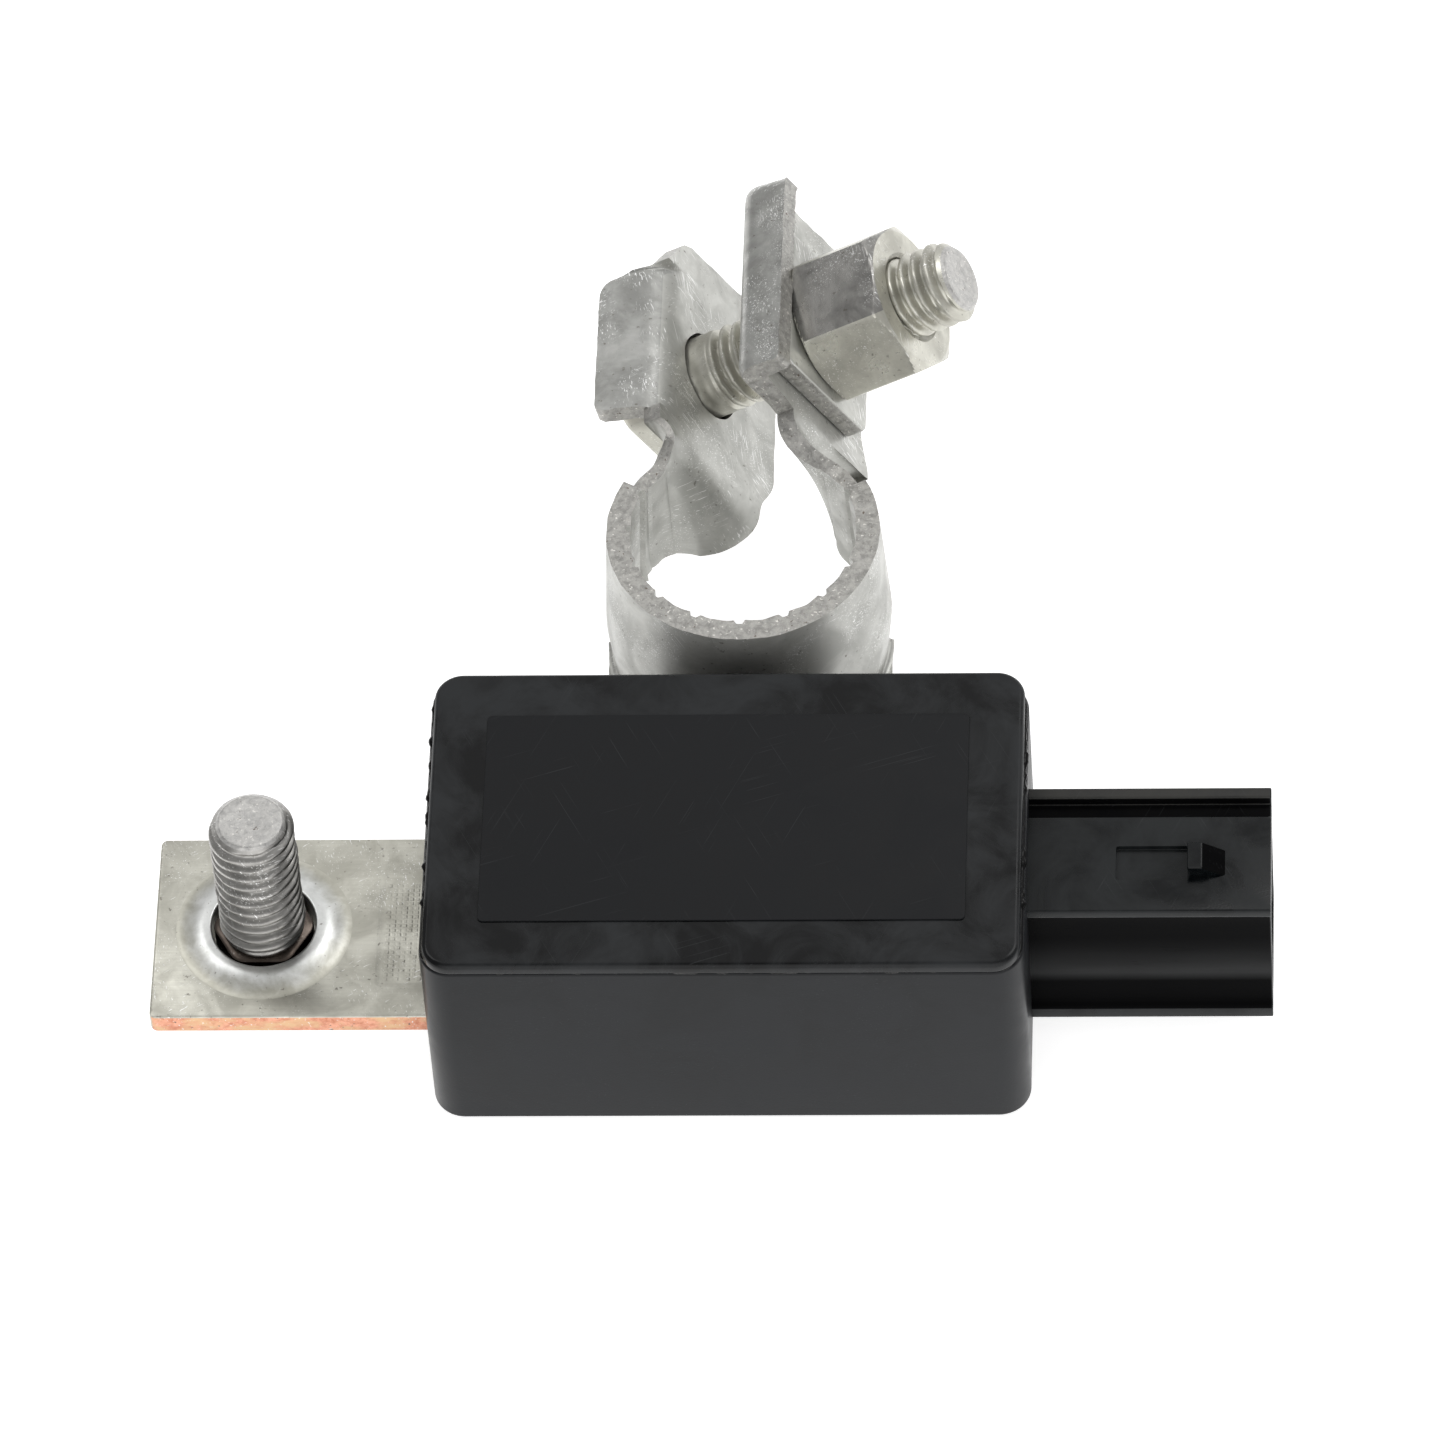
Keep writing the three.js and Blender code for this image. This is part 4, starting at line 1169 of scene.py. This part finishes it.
    def lip_point(self, share, offset):
        """A point of the turned tab or flange: share 0 to 0.5 is the bend, the rest is flat."""
        edge = self.upper
        angle = self.bend * min(share / 0.5, 1.0)
        flat = self.flat * max(0.0, share - 0.5) / 0.5
        if offset < 0:
            offset *= 1 + edge["sharp"] * math.sin(2 * angle) ** 2
        centre = self.point(self.w_top, 0) + self.across * edge["radius"]
        normal = self.across * math.cos(angle) - self.up * math.sin(angle)
        along = self.across * math.sin(angle) + self.up * math.cos(angle)
        return centre - normal * edge["radius"] + along * flat + normal * offset


def clamp_columns():
    """The columns from the left ear's end, round the ring's front, to the right ear's end."""
    columns = []
    for side in (left_side, right_side):
        steps = round(side.length / 0.22)
        runs = [side.length * i / steps for i in range(steps + 1)]
        back = EAR_BACK[side.hand]
        edge = TAB if side.hand < 0 else FLANGE
        edge_marks = {edge["from"] - LANCE, edge["from"], min(edge["to"], back)}
        marks = sorted({side.ear_start, back - EAR_CORNER, back} | edge_marks)
        for first, last in zip(marks, marks[1:]):
            count = max(1, round((last - first) / 0.3))
            start = side.length + first - side.ear_start
            runs += [start + (last - first) * i / count for i in range(1, count + 1)]
        made = [Column(side, run) for run in runs]
        columns += list(reversed(made)) if side.hand < 0 else made[1:]
    return columns


def clamp_part():
    """The clamp's sheet as a closed mesh, with each face's finish: 0 plain, 1 cut, 2 darker sheet for
    painted shade on the turned edges, with wear streaks.
    """
    columns = clamp_columns()
    rows = FOOT_ROWS + MAIN_ROWS + LIP_ROWS
    index = {}
    points = []

    def place(i, j, face):
        key = (i, j, face)
        if key not in index:
            column = columns[i]
            thicker = EAR_THICKER * column.in_ear if column.side.hand > 0 else 0.0
            thinner = STRIP_THINNER * (1 - column.turn) if column.run > RING_RADIUS * PADS_END else 0.0
            offset = SHEET / 2 - thinner if face > 0 else -SHEET / 2 - thicker
            if j < FOOT_ROWS:
                plain = SHEET / 2 if face > 0 else -SHEET / 2
                point = column.foot_point(1 - j / FOOT_ROWS, plain)
            elif j <= FOOT_ROWS + MAIN_ROWS:
                t = (j - FOOT_ROWS) / MAIN_ROWS
                fade = min(t * 8, 1) if column.front_half else 1
                if face < 0:
                    offset -= pad_depth(column.run, column.side) * fade
                point = column.point(column.w_bottom + (column.w_top - column.w_bottom) * t, offset)
            else:
                share = (j - FOOT_ROWS - MAIN_ROWS) / LIP_ROWS
                thinned = SHEET / 2 if face > 0 else -SHEET / 2 - thicker * (1 - share)
                point = column.lip_point(share, thinned)
            index[key] = len(points)
            points.append(point)
        return index[key]

    def exists(i, j):
        if not 0 <= i < len(columns) - 1 or not 0 <= j < rows:
            return False
        if j < FOOT_ROWS:
            return columns[i].front_half and columns[i + 1].front_half
        if j >= FOOT_ROWS + MAIN_ROWS:
            return columns[i].upper is not None and columns[i + 1].upper is not None
        return True

    faces, rims = [], []
    for i in range(len(columns) - 1):
        for j in range(rows):
            if not exists(i, j):
                continue
            corners = ((i, j), (i + 1, j), (i + 1, j + 1), (i, j + 1))
            faces.append(tuple(place(*c, 1) for c in corners))
            faces.append(tuple(place(*c, -1) for c in reversed(corners)))
            # Painted shade: past mid-bend, the turned tab and flange take the darker sheet.
            turned = j >= FOOT_ROWS + MAIN_ROWS + LIP_ROWS // 4 and columns[i + 1].bend > 1
            rims += [2, 2] if turned else [0, 0]
            neighbours = ((i, j - 1), (i + 1, j), (i, j + 1), (i - 1, j))
            for k, near in enumerate(neighbours):
                if exists(*near):
                    continue
                a, b = corners[k], corners[(k + 1) % 4]
                faces.append((place(*b, 1), place(*a, 1), place(*a, -1), place(*b, -1)))
                rims.append(1)
    return points, faces, rims


def make_clamp():
    points, faces, rims = clamp_part()
    looks = [clamp_sheet, clamp_edge, clamp_worn_painted_shade]
    clamp = make_piece(
        "post_clamp", points, faces, looks, "clamp_sheet", stands_for="terminal_clamp", face_slots=rims,
    )
    bore = moved(lathe([(EAR_BORE_RADIUS, -12), (EAR_BORE_RADIUS, 12)], 72), bolt_frame)
    carve(clamp, make_piece("bore", *bore, [clamp_edge], "clamp_sheet"))
    roughen_edges(clamp)
    bevel(clamp, 0.13, 2, 45)
    sharpen(clamp, 60)


def roughen_edges(piece):
    """Sheared edges aren't straight: their points wander by a few hundredths of a millimetre."""
    mesh = piece.data
    on_rim = set()
    for polygon in mesh.polygons:
        if polygon.material_index == 1:
            on_rim.update(polygon.vertices)
    for i in on_rim:
        place = mesh.vertices[i].co / MM
        wander = noise.noise_vector(place * 0.9) * 0.05 + noise.noise_vector(place * 2.3) * 0.025
        mesh.vertices[i].co += wander * MM


def make_tongue_tail():
    """The tongue's end inside the housing, welded to the inner bus bar."""
    z0 = BAR_BOTTOM + 0.1
    part = slab(5.9, 5.6, 0.2, z0, z0 + SHEET, 0.05, 0.05, (RING_X + 7.05, 10.4), 2, 3)
    make_piece("clamp_tongue", *part, [clamp_sheet], "clamp_sheet")


# ---------------------------------------------------------------- bolt, washer and nut


def make_bolt():
    rod = threaded_rod(BOLT_HEAD_U - 1, BOLT_END_U, BOLT_HEAD_U + 2.9, THREAD_RADIUS)
    side = BOLT_HEAD_SIDE
    head = slab(side, side, 2.4, BOLT_HEAD_U - BOLT_HEAD_HEIGHT, BOLT_HEAD_U, 0.5, 0.2)
    part = moved(merge(rod, head), bolt_frame)
    bolt = make_piece("bolt", *part, [zinc, stud_face], "zinc_plate", stands_for="clamp_bolt")
    end = bolt_middle + bolt_axis * (BOLT_END_U - 0.2)
    choose_looks(bolt, lambda place, normal: 1 if (place - end).dot(bolt_axis) > 0 else 0)
    sharpen(bolt, 40)


def make_washer():
    top = WASHER_U + WASHER_THICKNESS
    part = slab(*WASHER_SIZE, 0.7, WASHER_U, top, 0.1, 0.18, WASHER_CENTRE, 3, 6)
    washer = make_piece(
        "square_washer", *moved(part, bolt_frame), [clamp_sheet, clamp_edge], "clamp_sheet",
        "clamp_washer_body", "clamp_washer",
    )
    profile = [(WASHER_BORE_RADIUS, WASHER_U - 1), (WASHER_BORE_RADIUS, WASHER_U + 3)]
    bore = moved(lathe(profile, 72), bolt_frame)
    carve(washer, make_piece("bore", *bore, [clamp_edge], "clamp_sheet"))

    choose_looks(washer, lambda place, normal: 1 if abs(normal.dot(bolt_axis)) < 0.4 else 0)
    sharpen(washer, 30)


def hexagon_radius(angle, flats):
    around = (angle - NUT_TURN) % math.radians(60) - math.radians(30)
    corner = flats / 2 / math.cos(around)
    rounded = flats / math.sqrt(3) - 0.07
    return min(corner, rounded)


def make_nut():
    """A tall hexagon nut as one ring-shaped loft: sides, chamfers, end faces and threaded bore."""
    segments = 120
    top = NUT_U + NUT_HEIGHT
    chamfer = NUT_FLATS / 2 - 0.12
    angles = [NUT_TURN + 2 * math.pi * i / segments for i in range(segments)]
    sections = []

    def ring(z, radius_at):
        sections.append([
            (radius_at(angle) * math.cos(angle), radius_at(angle) * math.sin(angle), z) for angle in angles
        ])

    outer = [0, 0.04, 0.1, 0.2, 0.3, 0.4, 0.55, 0.8]
    heights = [NUT_U + h for h in outer] + [top - h for h in reversed(outer)]
    for z in heights:
        reach = chamfer + min(z - NUT_U, top - z) * 1.75
        ring(z, lambda angle, reach=reach: min(hexagon_radius(angle, NUT_FLATS), reach))
    ring(top, lambda angle: 3.35)
    bore_rows = round(NUT_HEIGHT / THREAD_PITCH * 14)
    for row in range(bore_rows + 1):
        z = top - NUT_HEIGHT * row / bore_rows
        mouth = 3.3 - min(z - NUT_U, top - z) * 1.3
        ring(z, lambda angle, z=z, mouth=mouth: max(thread_radius(angle, z) + 0.07, mouth))
    ring(NUT_U, lambda angle: 3.35)
    part = moved(loft(sections, closed=True), bolt_frame)
    nut = make_piece("nut", *part, [zinc, zinc_worn_painted_shade], "zinc_plate", "clamp_nut_body", "clamp_nut")

    def nut_look(place, normal):
        from_axis = (place - bolt_middle).cross(bolt_axis).length
        # Painted shade: the nut's flats that face upwards get the darker zinc.
        return 1 if normal.z > 0.75 and from_axis > NUT_FLATS / 2 - 0.2 else 0

    choose_looks(nut, nut_look)
    sharpen(nut, 24)


# ---------------------------------------------------------------- inner pieces and stage


def paint_inner_nodes():
    """The pieces inside the housing keep their CAD meshes."""
    looks = {
        "shunt_resistor": manganin,
        "busbar_clamp_side": tinned,
        "circuit_board": board,
        "sense_lead_stud_side": contact,
        "sense_lead_clamp_side": contact,
        "connector_pin_supply": contact,
        "connector_pin_data": contact,
        "clock_crystal": contact,
        "controller_chip": package,
        "bus_transceiver_chip": package,
        "supply_diode": package,
        "filter_capacitor_1": ceramic_body,
        "filter_capacitor_2": ceramic_body,
        "supply_capacitor": ceramic_body,
        "temperature_sensor": ceramic_body,
    }
    for name, look in looks.items():
        mesh = frame["nodes"][name].data
        mesh.materials.clear()
        mesh.materials.append(look)


def make_camera():
    level = math.cos(CAMERA_ELEVATION)
    sine, cosine = math.sin(CAMERA_AZIMUTH), math.cos(CAMERA_AZIMUTH)
    back = Vector((sine * level, -cosine * level, math.sin(CAMERA_ELEVATION)))
    level_right = Vector((cosine, sine, 0))
    level_up = back.cross(level_right)
    right = level_right * math.cos(CAMERA_ROLL) - level_up * math.sin(CAMERA_ROLL)
    up = level_right * math.sin(CAMERA_ROLL) + level_up * math.cos(CAMERA_ROLL)
    aim = right * CAMERA_AIM_RIGHT + up * CAMERA_AIM_UP
    camera = bpy.data.objects.new("camera", bpy.data.cameras.new("camera"))
    bpy.context.scene.collection.objects.link(camera)
    camera.matrix_world = Matrix((
        (right.x, up.x, back.x, 0),
        (right.y, up.y, back.y, 0),
        (right.z, up.z, back.z, 0),
        (0, 0, 0, 1),
    ))
    camera.location = (aim + back * CAMERA_DISTANCE) * MM
    camera.data.lens = CAMERA_LENS
    camera.data.sensor_width = 36
    camera.data.clip_start = 0.01
    camera.data.clip_end = 20
    bpy.context.scene.camera = camera


def make_floor():
    size = FLOOR_HALF_SIZE
    corners = [(-size, -size, 0), (size, -size, 0), (size, size, 0), (-size, size, 0)]
    mesh = bpy.data.meshes.new("floor")
    mesh.from_pydata(corners, [], [(0, 1, 2, 3)])
    floor = bpy.data.objects.new("floor", mesh)
    bpy.context.scene.collection.objects.link(floor)
    floor.location.z = -0.0001
    material, tree, shader = new_material("floor")
    shade = noise_field(tree, position(tree), 0.01, 2.0)
    tree.links.new(
        blend_colors(tree, shade, (0.80, 0.80, 0.80), (0.82, 0.82, 0.82)), shader.inputs["Base Color"]
    )
    shader.inputs["Roughness"].default_value = 0.7
    shader.inputs["Emission Color"].default_value = (1, 1, 1, 1)
    shader.inputs["Emission Strength"].default_value = FLOOR_GLOW
    mesh.materials.append(material)


def add_area_light(name, place, size, power):
    light = bpy.data.lights.new(name, "AREA")
    light.shape = "RECTANGLE"
    light.size = size
    light.size_y = size
    light.energy = power
    lamp = bpy.data.objects.new(name, light)
    bpy.context.scene.collection.objects.link(lamp)
    lamp.location = place
    lamp.rotation_euler = (Vector(LIGHT_AIM) - Vector(place)).to_track_quat("-Z", "Y").to_euler()


def make_lights():
    world = bpy.data.worlds.new("studio")
    bpy.context.scene.world = world
    world.use_nodes = True
    tree = world.node_tree
    background = tree.nodes["Background"]
    coordinates = add_node(tree, "ShaderNodeTexCoord")
    glow = TENT_GLOW
    for aim, extra in ((BACK_PANEL, BACK_GLOW), (FRONT_CARD, FRONT_GLOW)):
        toward = add_node(tree, "ShaderNodeVectorMath", {1: aim}, operation="DOT_PRODUCT")
        tree.links.new(coordinates.outputs["Generated"], toward.inputs[0])
        glow = combine(tree, "ADD", spread(tree, toward.outputs["Value"], 0.55, 0.95, 0.0, extra), glow)
    tree.links.new(glow, background.inputs["Strength"])
    background.inputs["Color"].default_value = (1.0, 1.0, 1.0, 1.0)
    add_area_light("key_back_right", (0.35, 0.35, 0.7), 0.35, 1.1)
    add_area_light("fill_back_left", (-0.35, 0.3, 0.7), 0.3, 0.5)
    view = bpy.context.scene.view_settings
    view.view_transform = "Standard"
    view.look = "None"


# ---------------------------------------------------------------- build

make_camera()
make_floor()
make_lights()
make_cover()
make_label()
make_tub()
make_socket()
make_latch()
make_adhesive()
make_bar()
make_boss()
make_hatch()
make_stud()
make_clamp()
make_tongue_tail()
make_bolt()
make_washer()
make_nut()
paint_inner_nodes()
